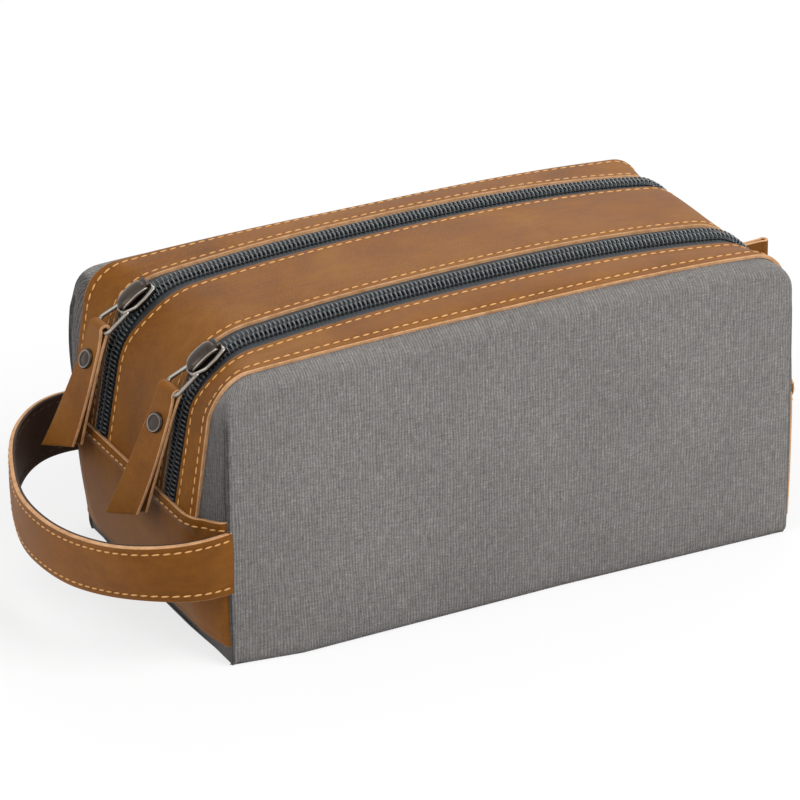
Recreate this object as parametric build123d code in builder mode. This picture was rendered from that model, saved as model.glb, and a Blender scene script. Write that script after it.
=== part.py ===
from build123d import *
import math
import os

# Toiletry bag with two zips over a domed top, in millimetres.
# The origin is in the middle of the base, +X runs to the right end, +Y to the rear and +Z up.
# The level 0 is the outer face of the canvas. Leather lies outside it, at minus levels, and the
# foam and the lining lie inside it, at plus levels.

# Body of the bag
length = 260.0  # from crease to crease at the base
width = 144.0  # from side wall to side wall
height = 129.4  # canvas level in the middle of the top
wall_height = 121.0  # top of the side walls, half way along
level_half = 50.0  # half of the width over which the top is level from side to side
end_bulge = 9.9  # how far the middle of an end swells past the crease
crease_bulge = 0.8  # how far the crease itself swells
bulge_height = 48.0  # height at which the ends are widest
end_radius = 70.0  # around the widest place
end_lean = 10.5  # degrees that the ends lean in above it
crease_radius = 1500.0  # the same two at the creases
crease_lean = 0.6
shoulder_radius = 42.3  # from the ends into the top
corner_radius = 12.0  # the same, at the side walls
top_radius = 900.0  # crown of the top from end to end
wall_top_radius = 3000.0  # the same, at the side walls

# Sheets, from the outside in
leather = 1.6
canvas = 1.0
foam = 2.0
lining = 0.6
board = 2.0  # base stiffener
divider = 1.4  # wall between the two compartments

# Leather on the top and the ends
centre_half = 24.0  # half width of the centre panel
strip_inner = 44.5  # inner edge of the side strips
strip_outer_top = 64.0  # outer edge of the side strips on the top
strip_outer_end = 57.0  # and where they meet the end panels
strip_turn_height = 112.0  # height at which the strips start to taper
seam_height = 62.0  # top edge of the end panels
end_panel_foot = 8.5  # bottom edge of the end panels
crease_margin = 0.4  # end panels stop this far from the creases
canvas_gap = 1.1  # between the edge of a tape and the canvas beside it
turn_up = 50.0  # height of the base canvas behind the end panels

# Zips
zip_centre = 34.25  # distance of each zip from the middle
tape = 0.8
tape_reach = 15.5  # from the middle of the zip to the edge of a tape
tape_lap = 10.0  # tape that runs down behind the end panels
coil_height = 2.4
coil_half = 4.3
coil_slot = 0.9  # half of the slot that the slider's post runs in
lining_slit = 9.0  # half width of the opening in the lining below a zip

# Sliders
slider_angle = 52.5  # place on the shoulder, from level with its centre
slider_clearance = 0.5
slider_length = 17.0
slider_wide = 12.6  # at the end that faces the top
slider_narrow = 7.4  # at the nose
slider_shoulder = -1.5  # where the plate starts to narrow, from its middle
slider_rounding = 1.5
slider_plate = 2.2
slider_flange = 1.6
slider_flange_length = 8.0
slider_foot = 1.2
slider_foot_length = 14.0
slider_foot_width = 11.6
slider_foot_drop = 0.65  # more room below the curved tape, for the straight foot
slider_post = 1.1
slider_post_length = 5.0
crown_length = 15.0
crown_width = 4.8
crown_height = 3.4
crown_rounding = 1.5
crown_shift = 1.5  # towards the nose
crown_eye_length = 3.4
crown_eye_height = 2.4

# Rings
ring_wire = 1.6
ring_length = 14.8  # over both bars
ring_top = 10.2
ring_bottom = 15.2
ring_rounding = 1.4
ring_droop = 2.0  # degrees below the slider's own slope
ring_swing = 12.0  # degrees towards the rear
ring_seat = 6.4  # from the middle of the slider to the ring's upper bar
wire_rounding = 0.4

# Leather pulls
pull_leather = 1.5
pull_length = 59.0  # from the ring's lower bar to the foot
pull_top = 10.6
pull_foot = 21.0
pull_splay = 5.4  # gap between the two layers at the foot
pull_pinch = 0.1  # half of the gap between them at the rivet
pull_pinch_start = 9.0
pull_pinch_end = 22.0
pull_lean = 15.0  # degrees out from the vertical
bar_clearance = 0.45

# Rivets
rivet_drop = 15.5  # from the ring's lower bar
rivet_cap = 9.6
rivet_cap_height = 1.7
rivet_cap_rounding = 1.2
rivet_base = 8.4
rivet_base_height = 1.1
rivet_post = 3.0
rivet_fit = 0.1

# Handle
handle_face = 1.8
handle_backing = 1.6
handle_low = 33.5
handle_high = 60.5
handle_reach_low = 45.0  # how far the lower edge stands out from the creases
handle_reach_high = 58.0  # and the upper edge
handle_gap = 1.0  # between the handle's ends and the side walls
handle_corner = 32.0
handle_bow = 160.0

# Small tab at the right end
tab_width = 18.0
tab_leather = 1.5
tab_reach = 15.0
tab_gap = 1.2
tab_low = 86.0
tab_high = 99.0
tab_lift = 22.0  # degrees that it points up

rivet_seat = pull_pinch + pull_leather
wall_face = width / 2 - canvas - foam  # inner face of the foam
floor_level = canvas + board


def tangent_centre(lean, distance, centre, reach):
    """The point at a distance along a leaning normal, and at a reach from a centre below it."""
    across, up = math.cos(lean), math.sin(lean)
    near = distance - centre[0] * across - centre[1] * up
    aside = math.sqrt(reach**2 - near**2)
    return (
        centre[0] + near * across - aside * up,
        centre[1] + near * up + aside * across,
    )


def blend(middle, wall, share):
    """A size that goes from its value in the middle to its value at the side wall."""
    return middle + (wall - middle) * share


def outline_sizes(u):
    """Circles of the bag's outline at the share u of the way out to the side wall."""
    rounding = 1 - math.sqrt(1 - u**2)
    fold = u**1.5
    top = blend(height, wall_height, rounding)
    crown = blend(top_radius, wall_top_radius, fold)
    shoulder = blend(shoulder_radius, corner_radius, rounding)
    side = blend(end_radius, crease_radius, fold**4)
    lean = math.radians(blend(end_lean, crease_lean, fold))
    bulge = blend(end_bulge, crease_bulge, fold)
    foot = (bulge**2 + bulge_height**2) / (2 * bulge)
    widest = length / 2 + bulge
    side_centre = (widest - side, bulge_height)
    face = side_centre[0] * math.cos(lean) + side_centre[1] * math.sin(lean) + side
    crown_centre = (0, top - crown)
    return {
        "foot": ((widest - foot, bulge_height), foot),
        "side": (side_centre, side),
        "lean": lean,
        "shoulder": (
            tangent_centre(lean, face - shoulder, crown_centre, crown - shoulder),
            shoulder,
        ),
        "crown": (crown_centre, crown),
    }


def outline(u, level):
    """Edges of the closed outline of the bag, seen from the front."""
    sizes = outline_sizes(u)
    (foot_centre, foot), (side_centre, side) = sizes["foot"], sizes["side"]
    (shoulder_centre, shoulder), (crown_centre, crown) = sizes["shoulder"], sizes["crown"]
    lean = math.degrees(sizes["lean"])
    foot_turn = math.degrees(math.asin((foot_centre[1] - level) / (foot - level)))
    foot_half = foot_centre[0] + (foot - level) * math.cos(math.radians(foot_turn))
    crown_turn = math.degrees(
        math.atan2(shoulder_centre[1] - crown_centre[1], shoulder_centre[0])
    )
    with BuildLine() as profile:
        CenterArc(foot_centre, foot - level, -foot_turn, foot_turn)
        below = CenterArc(side_centre, side - level, 0, lean)
        above = CenterArc(shoulder_centre, shoulder - level, lean, crown_turn - lean)
        Line(below @ 1, above @ 0)
        mirror(about=Plane.YZ)
        CenterArc(crown_centre, crown - level, crown_turn, 180 - 2 * crown_turn)
        Line((-foot_half, level), (foot_half, level))
    return profile.edges()


def bag_form(level):
    """The whole bag as one solid, at one level of its wall."""
    shares = [0, 0.35, 0.62, 0.82, 0.94, 1]
    stations = [(-1, u) for u in reversed(shares)] + [(1, u) for u in shares]
    reach = width / 2 - level - level_half
    with BuildPart() as form:
        for side, u in stations:
            with BuildSketch(Plane.XZ.offset(-side * (level_half + u * reach))):
                make_face(outline(u, level))
        loft(ruled=True)
    return form.part


def shell_between(outer, inner):
    """The sheet that lies between two levels of the bag."""
    with BuildPart() as sheet:
        add(outer)
        add(inner, mode=Mode.SUBTRACT)
    return sheet.part


def finish(name, piece):
    """Label a finished piece and write it to its own file."""
    piece.label = name
    export_step(piece, f"parts/{name}.step")
    print(f"{name}: {piece.volume / 1000:.2f} cubic centimetres, {len(piece.solids())} solid")


os.makedirs("parts", exist_ok=True)
far = length + width  # longer than anything that a region has to cut
sides = (("front", -1), ("rear", 1))

leather_form = bag_form(-leather)
canvas_form = bag_form(0)
inside_form = bag_form(canvas)
room_form = bag_form(canvas + lining)

leather_sheet = shell_between(leather_form, canvas_form)
canvas_sheet = shell_between(canvas_form, inside_form)
tape_sheet = shell_between(canvas_form, bag_form(tape))
coil_sheet = shell_between(bag_form(-coil_height), canvas_form)

# Leather centre panel, over the top and down both ends
with BuildPart() as centre_panel:
    add(leather_sheet)
    with BuildSketch(Plane.YZ):
        with Locations((0, seam_height)):
            Rectangle(2 * centre_half, far, align=(Align.CENTER, Align.MIN))
    extrude(amount=far, both=True, mode=Mode.INTERSECT)
finish("centre_leather_panel", centre_panel.part)

# Leather strips beside the zips, which taper down the ends
for name, side in sides:
    with BuildPart() as strip:
        add(leather_sheet)
        with BuildSketch(Plane.YZ):
            with BuildLine():
                Polyline(
                    (side * strip_inner, seam_height),
                    (side * strip_outer_end, seam_height),
                    (side * strip_outer_top, strip_turn_height),
                    (side * strip_outer_top, far),
                    (side * strip_inner, far),
                    close=True,
                )
            make_face()
        extrude(amount=far, both=True, mode=Mode.INTERSECT)
    finish(f"{name}_leather_strip", strip.part)

# Leather end panels, from crease to crease
for name, side in (("left", -1), ("right", 1)):
    with BuildPart() as end_panel:
        add(leather_sheet)
        with BuildSketch(Plane.YZ):
            with Locations((0, end_panel_foot)):
                Rectangle(
                    width - 2 * crease_margin,
                    seam_height - end_panel_foot,
                    align=(Align.CENTER, Align.MIN),
                )
        extrude(amount=side * far, mode=Mode.INTERSECT)
    finish(f"{name}_end_panel", end_panel.part)

# Canvas panels: a side wall, its share of the top and its gussets on both ends
canvas_edge = zip_centre + tape_reach + canvas_gap
for name, side in sides:
    with BuildPart() as canvas_panel:
        add(canvas_sheet)
        with BuildSketch(Plane.YZ):
            with Locations((side * canvas_edge, canvas)):
                Rectangle(
                    far,
                    far,
                    align=(Align.MAX if side < 0 else Align.MIN, Align.MIN),
                )
        extrude(amount=far, both=True, mode=Mode.INTERSECT)
    finish(f"{name}_canvas_panel", canvas_panel.part)

# Canvas base, turned up at both ends behind the end panels
with BuildPart() as base_panel:
    add(canvas_sheet)
    with BuildSketch(Plane.YZ):
        Rectangle(far, canvas, align=(Align.CENTER, Align.MIN))
        Rectangle(2 * canvas_edge, turn_up, align=(Align.CENTER, Align.MIN))
    extrude(amount=far, both=True, mode=Mode.INTERSECT)
finish("base_canvas_panel", base_panel.part)

# Zip tapes and their coils, an outer and an inner one on each zip
for name, side in sides:
    for edge, out in (("outer", 1), ("inner", -1)):
        middle = side * zip_centre
        away = side * out
        tape_span = sorted((middle + away * coil_slot, middle + away * tape_reach))
        with BuildPart() as tape_half:
            add(tape_sheet)
            with BuildSketch(Plane.YZ):
                with Locations((tape_span[0], seam_height - tape_lap)):
                    Rectangle(
                        tape_span[1] - tape_span[0], far, align=(Align.MIN, Align.MIN)
                    )
            extrude(amount=far, both=True, mode=Mode.INTERSECT)
        finish(f"{name}_zip_{edge}_tape", tape_half.part)

        coil_span = sorted((middle + away * coil_slot, middle + away * coil_half))
        with BuildPart() as coil:
            add(coil_sheet)
            with BuildSketch(Plane.YZ):
                with Locations((coil_span[0], seam_height)):
                    Rectangle(
                        coil_span[1] - coil_span[0], far, align=(Align.MIN, Align.MIN)
                    )
            extrude(amount=far, both=True, mode=Mode.INTERSECT)
        finish(f"{name}_zip_{edge}_coil", coil.part)

# Base stiffener board, between the canvas base and the linings
with BuildPart() as base_board:
    add(inside_form)
    with BuildSketch(Plane.YZ):
        Rectangle(far, floor_level, align=(Align.CENTER, Align.MIN))
    extrude(amount=far, both=True, mode=Mode.INTERSECT)
finish("base_board", base_board.part)

# Foam behind each side wall
for name, side in sides:
    with BuildPart() as foam_pad:
        add(inside_form)
        with BuildSketch(Plane.YZ):
            with Locations((side * wall_face, floor_level)):
                Rectangle(far, far, align=(Align.MAX if side < 0 else Align.MIN, Align.MIN))
        extrude(amount=far, both=True, mode=Mode.INTERSECT)
    finish(f"{name}_foam_pad", foam_pad.part)

# Divider between the compartments, from the board up to the centre panel
with BuildPart() as middle_wall:
    add(canvas_form)
    with BuildSketch(Plane.YZ):
        with Locations((0, turn_up)):
            Rectangle(divider, far, align=(Align.CENTER, Align.MIN))
    extrude(amount=far, both=True, mode=Mode.INTERSECT)
with BuildPart() as middle_foot:
    add(inside_form)
    with BuildSketch(Plane.YZ):
        with Locations((0, floor_level)):
            Rectangle(divider, turn_up - floor_level, align=(Align.CENTER, Align.MIN))
    extrude(amount=far, both=True, mode=Mode.INTERSECT)
    add(middle_wall.part)
finish("compartment_divider", middle_foot.part)

def compartment(form, gap, side):
    """The space of one compartment, a gap inside the foam, the board and the divider."""
    with BuildPart() as space:
        add(form)
        with BuildSketch(Plane.YZ):
            with Locations((side * (divider / 2 + gap), floor_level + gap)):
                Rectangle(
                    wall_face - divider / 2 - 2 * gap,
                    far,
                    align=(Align.MAX if side < 0 else Align.MIN, Align.MIN),
                )
        extrude(amount=far, both=True, mode=Mode.INTERSECT)
    return space.part


# Lining of each compartment, open below its zip
for name, side in sides:
    lining_outside = compartment(inside_form, 0, side)
    lining_inside = compartment(room_form, lining, side)
    with BuildPart() as lining_bag:
        add(lining_outside)
        add(lining_inside, mode=Mode.SUBTRACT)
        with BuildSketch(Plane.YZ):
            with Locations((side * zip_centre, seam_height)):
                Rectangle(2 * lining_slit, far, align=(Align.CENTER, Align.MIN))
        extrude(amount=far, both=True, mode=Mode.SUBTRACT)
    finish(f"{name}_lining", lining_bag.part)


def handle_edges(reach, inset):
    """Front half of the handle's plan: a straight end, a corner and half of the bow."""
    bow_centre = handle_bow - reach - length / 2
    aside = width / 2 + handle_gap + handle_face + handle_backing - handle_corner
    corner_x = bow_centre - math.sqrt((handle_bow - handle_corner) ** 2 - aside**2)
    turn = math.degrees(math.atan2(aside, bow_centre - corner_x))
    with BuildLine() as plan:
        Line((-length / 2, -aside - handle_corner + inset), (corner_x, -aside - handle_corner + inset))
        CenterArc((corner_x, -aside), handle_corner - inset, 180 + turn, 90 - turn)
        mirror(about=Plane.XZ)
        CenterArc((bow_centre, 0), handle_bow - inset, 180 - turn, 2 * turn)
    return plan.edges()


def handle_band(outer, inner):
    """A layer of the handle between two distances from its outer face."""
    with BuildPart() as band:
        for height_now, reach in (
            (handle_low, handle_reach_low),
            (handle_high, handle_reach_high),
        ):
            with BuildSketch(Plane.XY.offset(height_now)):
                make_face(
                    handle_edges(reach, outer)
                    + handle_edges(reach, inner)
                    + end_edges(outer, inner)
                )
        loft(ruled=True)
    return band.part


def end_edges(outer, inner):
    """The two short edges that close the handle's ends, at the creases."""
    start = width / 2 + handle_gap + handle_face + handle_backing
    with BuildLine() as ends:
        Line((-length / 2, -start + outer), (-length / 2, -start + inner))
        mirror(about=Plane.XZ)
    return ends.edges()


# Handle: face leather outside and backing leather inside, its lower edge drawn in
finish("handle_face", handle_band(0, handle_face))
finish("handle_backing", handle_band(handle_face, handle_face + handle_backing))

# Folded tab sewn on the centre panel at the right end
shoulder_centre = outline_sizes(0)["shoulder"][0]
tab_turn = math.degrees(
    math.asin(((tab_low + tab_high) / 2 - shoulder_centre[1]) / (shoulder_radius + leather))
)
tab_form = bag_form(-leather - tab_leather)
with BuildPart() as tab_patch:
    add(tab_form)
    add(leather_form, mode=Mode.SUBTRACT)
    with BuildSketch(Plane.YZ):
        with Locations((0, tab_low)):
            Rectangle(tab_width, tab_high - tab_low, align=(Align.CENTER, Align.MIN))
    extrude(amount=far, mode=Mode.INTERSECT)
tab_root = Plane(
    origin=(shoulder_centre[0], 0, shoulder_centre[1]),
    x_dir=(math.cos(math.radians(tab_turn)), 0, math.sin(math.radians(tab_turn))),
    z_dir=(0, -1, 0),
)
tab_seat = tab_root.from_local_coords((shoulder_radius + leather, 0, 0))
tab_plane = Plane(
    origin=tab_seat,
    x_dir=(math.cos(math.radians(tab_lift)), 0, math.sin(math.radians(tab_lift))),
    z_dir=(0, -1, 0),
)
tab_fold = tab_gap / 2 + tab_leather
with BuildPart() as end_tab:
    with BuildSketch(tab_plane):
        with Locations((-tab_leather, 0)):
            Rectangle(
                tab_reach - tab_fold + tab_leather,
                2 * tab_fold,
                align=(Align.MIN, Align.CENTER),
            )
        with Locations((tab_reach - tab_fold, 0)):
            Circle(tab_fold)
            Circle(tab_gap / 2, mode=Mode.SUBTRACT)
        Rectangle(tab_reach - tab_fold, tab_gap, align=(Align.MIN, Align.CENTER), mode=Mode.SUBTRACT)
    extrude(amount=tab_width / 2, both=True)
    add(tab_patch.part)
    add(leather_form, mode=Mode.SUBTRACT)
finish("end_tab", end_tab.part)

# Zip sliders with their rings and leather pulls, at the left shoulder
hub = (-shoulder_centre[0], shoulder_centre[1])
print(f"slider hinge at x {hub[0]:.3f}, z {hub[1]:.3f}")
slope = math.radians(slider_angle)
down_slope = Vector(-math.sin(slope), 0, -math.cos(slope))
off_slope = Vector(-math.cos(slope), 0, math.sin(slope))
coil_top = shoulder_radius + coil_height
plate_low = slider_clearance
plate_top = plate_low + slider_plate
flange_inner = coil_half + slider_clearance
foot_top = -(coil_height + tape + slider_clearance + slider_foot_drop)

ring_slope = math.radians(90 - slider_angle + ring_droop)
ring_down = Vector(-math.cos(ring_slope), 0, -math.sin(ring_slope))
ring_off = Vector(-math.sin(ring_slope), 0, math.cos(ring_slope))
ring_turn = math.radians(ring_swing)
ring_along = ring_down * math.cos(ring_turn) + Vector(0, 1, 0) * math.sin(ring_turn)

lean = math.radians(pull_lean)
fold_inner = ring_wire / 2 + bar_clearance
fold_outer = fold_inner + pull_leather

for name, side in sides:
    seat = Plane(
        origin=(
            hub[0] - coil_top * math.cos(slope),
            side * zip_centre,
            hub[1] + coil_top * math.sin(slope),
        ),
        x_dir=down_slope,
        z_dir=off_slope,
    )

    with BuildPart() as slider:
        with BuildSketch(seat.offset(plate_low)):
            with BuildLine():
                Polyline(
                    (-slider_length / 2, -slider_wide / 2),
                    (slider_shoulder, -slider_wide / 2),
                    (slider_length / 2, -slider_narrow / 2),
                    (slider_length / 2, slider_narrow / 2),
                    (slider_shoulder, slider_wide / 2),
                    (-slider_length / 2, slider_wide / 2),
                    close=True,
                )
            make_face()
            fillet(vertices(), slider_rounding)
        extrude(amount=slider_plate)
        with BuildSketch(seat.offset(plate_low)):
            for edge in (-1, 1):
                with Locations((slider_shoulder, edge * (flange_inner + slider_flange / 2))):
                    Rectangle(
                        slider_flange_length, slider_flange, align=(Align.MAX, Align.CENTER)
                    )
        extrude(amount=-coil_height)
        with BuildSketch(seat.offset(foot_top)):
            Rectangle(slider_foot_length, slider_foot_width)
            fillet(vertices(), slider_rounding)
        extrude(amount=-slider_foot)
        with BuildSketch(seat.offset(foot_top)):
            Rectangle(slider_post_length, slider_post)
        extrude(amount=plate_low - foot_top)
        with BuildSketch(seat.offset(plate_top)):
            with Locations((crown_shift, 0)):
                SlotOverall(crown_length, crown_width)
        extrude(amount=crown_height)
        fillet(edges().group_by(Axis(seat.origin, off_slope))[-1], crown_rounding)
        with BuildSketch(seat.offset(plate_top)):
            with Locations((ring_seat, 0)):
                Rectangle(crown_eye_length, slider_wide)
        extrude(amount=crown_eye_height, mode=Mode.SUBTRACT)
    finish(f"{name}_zip_slider", slider.part)

    ring_pivot = seat.from_local_coords((ring_seat, 0, plate_top + crown_eye_height / 2))
    print(f"{name} ring hinge at {ring_pivot}")
    ring_plane = Plane(origin=ring_pivot, x_dir=ring_along, z_dir=ring_off)
    with BuildPart() as ring:
        with BuildSketch(ring_plane):
            with BuildLine():
                Polyline(
                    (-ring_wire / 2, -ring_top / 2),
                    (ring_length - ring_wire / 2, -ring_bottom / 2),
                    (ring_length - ring_wire / 2, ring_bottom / 2),
                    (-ring_wire / 2, ring_top / 2),
                    close=True,
                )
            make_face()
            fillet(vertices(), ring_rounding)
            offset(amount=-ring_wire, mode=Mode.SUBTRACT)
        extrude(amount=ring_wire / 2, both=True)
        fillet(edges(), wire_rounding)
    finish(f"{name}_zip_ring", ring.part)

    bar = ring_plane.from_local_coords((ring_length - ring_wire, 0, 0))
    bar_axis = -ring_plane.y_dir
    hang = (Vector(0, 0, -1) + bar_axis * bar_axis.Z).normalized()
    out = bar_axis.cross(hang)
    print(f"{name} pull hinge at {bar}, along {bar_axis}, out {out}")
    pull_down = hang * math.cos(lean) + out * math.sin(lean)
    pull_out = out * math.cos(lean) - hang * math.sin(lean)
    pull_side = Plane(origin=bar, x_dir=pull_down, z_dir=pull_down.cross(pull_out))
    pull_face = Plane(origin=bar, x_dir=pull_down, z_dir=pull_out)
    with BuildPart() as pull:
        with BuildSketch(pull_side):
            with BuildLine():
                ThreePointArc((0, -fold_outer), (-fold_outer, 0), (0, fold_outer))
                Polyline(
                    (0, fold_outer),
                    (pull_pinch_start, rivet_seat),
                    (pull_pinch_end, rivet_seat),
                    (pull_length, rivet_seat + pull_splay / 2),
                    (pull_length, pull_pinch + pull_splay / 2),
                    (pull_pinch_end, pull_pinch),
                    (pull_pinch_start, pull_pinch),
                    (0, fold_inner),
                )
                ThreePointArc((0, fold_inner), (-fold_inner, 0), (0, -fold_inner))
                Polyline(
                    (0, -fold_inner),
                    (pull_pinch_start, -pull_pinch),
                    (pull_pinch_end, -pull_pinch),
                    (pull_length, -pull_pinch - pull_splay / 2),
                    (pull_length, -rivet_seat - pull_splay / 2),
                    (pull_pinch_end, -rivet_seat),
                    (pull_pinch_start, -rivet_seat),
                    (0, -fold_outer),
                )
            make_face()
        extrude(amount=pull_foot / 2, both=True)
        with BuildSketch(pull_face):
            with BuildLine():
                Polyline(
                    (-fold_outer, -pull_top / 2),
                    (pull_length, -pull_foot / 2),
                    (pull_length, pull_foot / 2),
                    (-fold_outer, pull_top / 2),
                    close=True,
                )
            make_face()
        extrude(amount=fold_outer + pull_splay, both=True, mode=Mode.INTERSECT)
        with BuildSketch(pull_face):
            with Locations((rivet_drop, 0)):
                Circle(rivet_post / 2 + rivet_fit)
        extrude(amount=fold_outer + pull_splay, both=True, mode=Mode.SUBTRACT)
    finish(f"{name}_zip_pull", pull.part)

    with BuildPart() as cap:
        with BuildSketch(pull_face.offset(rivet_seat)):
            with Locations((rivet_drop, 0)):
                Circle(rivet_cap / 2)
        extrude(amount=rivet_cap_height)
        fillet(edges().group_by(Axis(bar, pull_out))[-1], rivet_cap_rounding)
    finish(f"{name}_rivet_cap", cap.part)

    with BuildPart() as base:
        with BuildSketch(pull_face.offset(-rivet_seat)):
            with Locations((rivet_drop, 0)):
                Circle(rivet_base / 2)
        extrude(amount=-rivet_base_height)
        with BuildSketch(pull_face.offset(-rivet_seat)):
            with Locations((rivet_drop, 0)):
                Circle(rivet_post / 2)
        extrude(amount=2 * rivet_seat)
    finish(f"{name}_rivet_base", base.part)
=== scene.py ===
import math

import bmesh
import bpy
import numpy as np
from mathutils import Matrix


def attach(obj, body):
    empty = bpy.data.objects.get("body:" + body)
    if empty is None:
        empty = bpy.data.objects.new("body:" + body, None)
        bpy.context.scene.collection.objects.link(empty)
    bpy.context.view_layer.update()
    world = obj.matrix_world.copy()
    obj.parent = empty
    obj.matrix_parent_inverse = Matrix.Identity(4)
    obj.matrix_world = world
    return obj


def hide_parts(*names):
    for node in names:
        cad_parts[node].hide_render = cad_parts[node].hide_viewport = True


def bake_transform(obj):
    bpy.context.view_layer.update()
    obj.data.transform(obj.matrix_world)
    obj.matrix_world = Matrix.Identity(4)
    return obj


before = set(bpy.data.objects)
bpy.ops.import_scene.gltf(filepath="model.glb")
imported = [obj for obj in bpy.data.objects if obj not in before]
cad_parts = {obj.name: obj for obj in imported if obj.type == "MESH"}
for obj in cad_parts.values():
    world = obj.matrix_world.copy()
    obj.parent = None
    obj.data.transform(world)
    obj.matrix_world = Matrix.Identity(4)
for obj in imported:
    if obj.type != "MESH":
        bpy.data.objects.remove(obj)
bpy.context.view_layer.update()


# Camera, floor and light. The camera stands where a long lens gives the photograph's view, and the
# white floor takes only a soft shadow, because the bag is lit from all round as on a light table.
def linear(*screen):
    """A colour as the renderer wants it, from its red, green and blue on screen, 0 to 255."""
    parts = [value / 255 for value in screen]
    return tuple(
        ((part + 0.055) / 1.055) ** 2.4 if part > 0.04045 else part / 12.92 for part in parts
    ) + (1.0,)


def view_axes(turn, tilt, roll):
    """Right, up and forward of a camera, from its angles in degrees."""
    turn, tilt, roll = math.radians(turn), math.radians(tilt), math.radians(roll)
    forward = np.array(
        [math.sin(turn) * math.cos(tilt), math.cos(turn) * math.cos(tilt), -math.sin(tilt)]
    )
    level = np.array([math.cos(turn), -math.sin(turn), 0.0])
    upright = np.cross(level, forward)
    right = math.cos(roll) * level + math.sin(roll) * upright
    up = -math.sin(roll) * level + math.cos(roll) * upright
    return right, up, forward


def linked(name, data):
    """A new object of the scene, with its data."""
    thing = bpy.data.objects.new(name, data)
    bpy.context.collection.objects.link(thing)
    return thing


def aim(thing, place, right, up, forward):
    """Put a camera or a lamp at a place and let it look forward."""
    matrix = thing.matrix_world.copy()
    for i in range(3):
        matrix[i] = right[i], up[i], -forward[i], place[i]
    thing.matrix_world = matrix


lens = bpy.data.cameras.new("camera")
lens.lens = 228.175
lens.sensor_width = 36.0
lens.clip_start = 0.05
lens.clip_end = 20.0
camera = linked("camera", lens)
aim(camera, (-0.88125, -1.72552, 0.96923), *view_axes(turn=26.588, tilt=25.116, roll=-0.558))
bpy.context.scene.camera = camera


def unit(vectors):
    """Vectors of length 1."""
    return vectors / np.linalg.norm(vectors, axis=-1, keepdims=True)


def soft_lamp(name, place, target, size, power):
    """A square softbox that looks at a point."""
    lamp = bpy.data.lights.new(name, "AREA")
    lamp.shape = "SQUARE"
    lamp.size = size
    lamp.energy = power
    forward = unit(np.subtract(target, place))
    right = unit(np.cross(forward, (0.0, 0.0, 1.0)))
    aim(linked(name, lamp), place, right, np.cross(right, forward), forward)


soft_lamp("key_lamp", (0.55, -1.0, 1.25), (0.0, 0.0, 0.06), size=0.9, power=15.0)
soft_lamp("rear_lamp", (0.7, 0.9, 1.1), (0.0, 0.0, 0.1), size=0.8, power=9.0)
soft_lamp("left_lamp", (-1.3, -0.2, 0.8), (0.0, 0.0, 0.08), size=0.8, power=4.5)


class Wire:
    """A number, colour or vector on its way through a finish."""

    def __init__(self, finish, socket):
        self.finish = finish
        self.socket = socket

    def math(self, operation, *values):
        """Another number made from this one and others."""
        return self.finish.node("ShaderNodeMath", {"operation": operation}, dict(enumerate(values)))

    def __add__(self, other):
        return self.math("ADD", self, other)

    def __sub__(self, other):
        return self.math("SUBTRACT", self, other)

    def __rsub__(self, other):
        return self.math("SUBTRACT", other, self)

    def __mul__(self, other):
        return self.math("MULTIPLY", self, other)

    def __truediv__(self, other):
        return self.math("DIVIDE", self, other)

    def __pow__(self, other):
        return self.math("POWER", self, other)

    __radd__ = __add__
    __rmul__ = __mul__

    def clamped(self):
        """The number, kept between 0 and 1."""
        return self.finish.node("ShaderNodeClamp", {}, {"Value": self})

    def steps(self, low, high):
        """0 below one value and 1 above another, with a soft change between them."""
        return self.finish.node(
            "ShaderNodeMapRange",
            {"interpolation_type": "SMOOTHSTEP"},
            {"Value": self, "From Min": low, "From Max": high},
        )

    def sine(self):
        """A wave between 0 and 1 for each whole number that this one grows by."""
        return self.math("SINE", self * (2 * math.pi)) * 0.5 + 0.5


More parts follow.
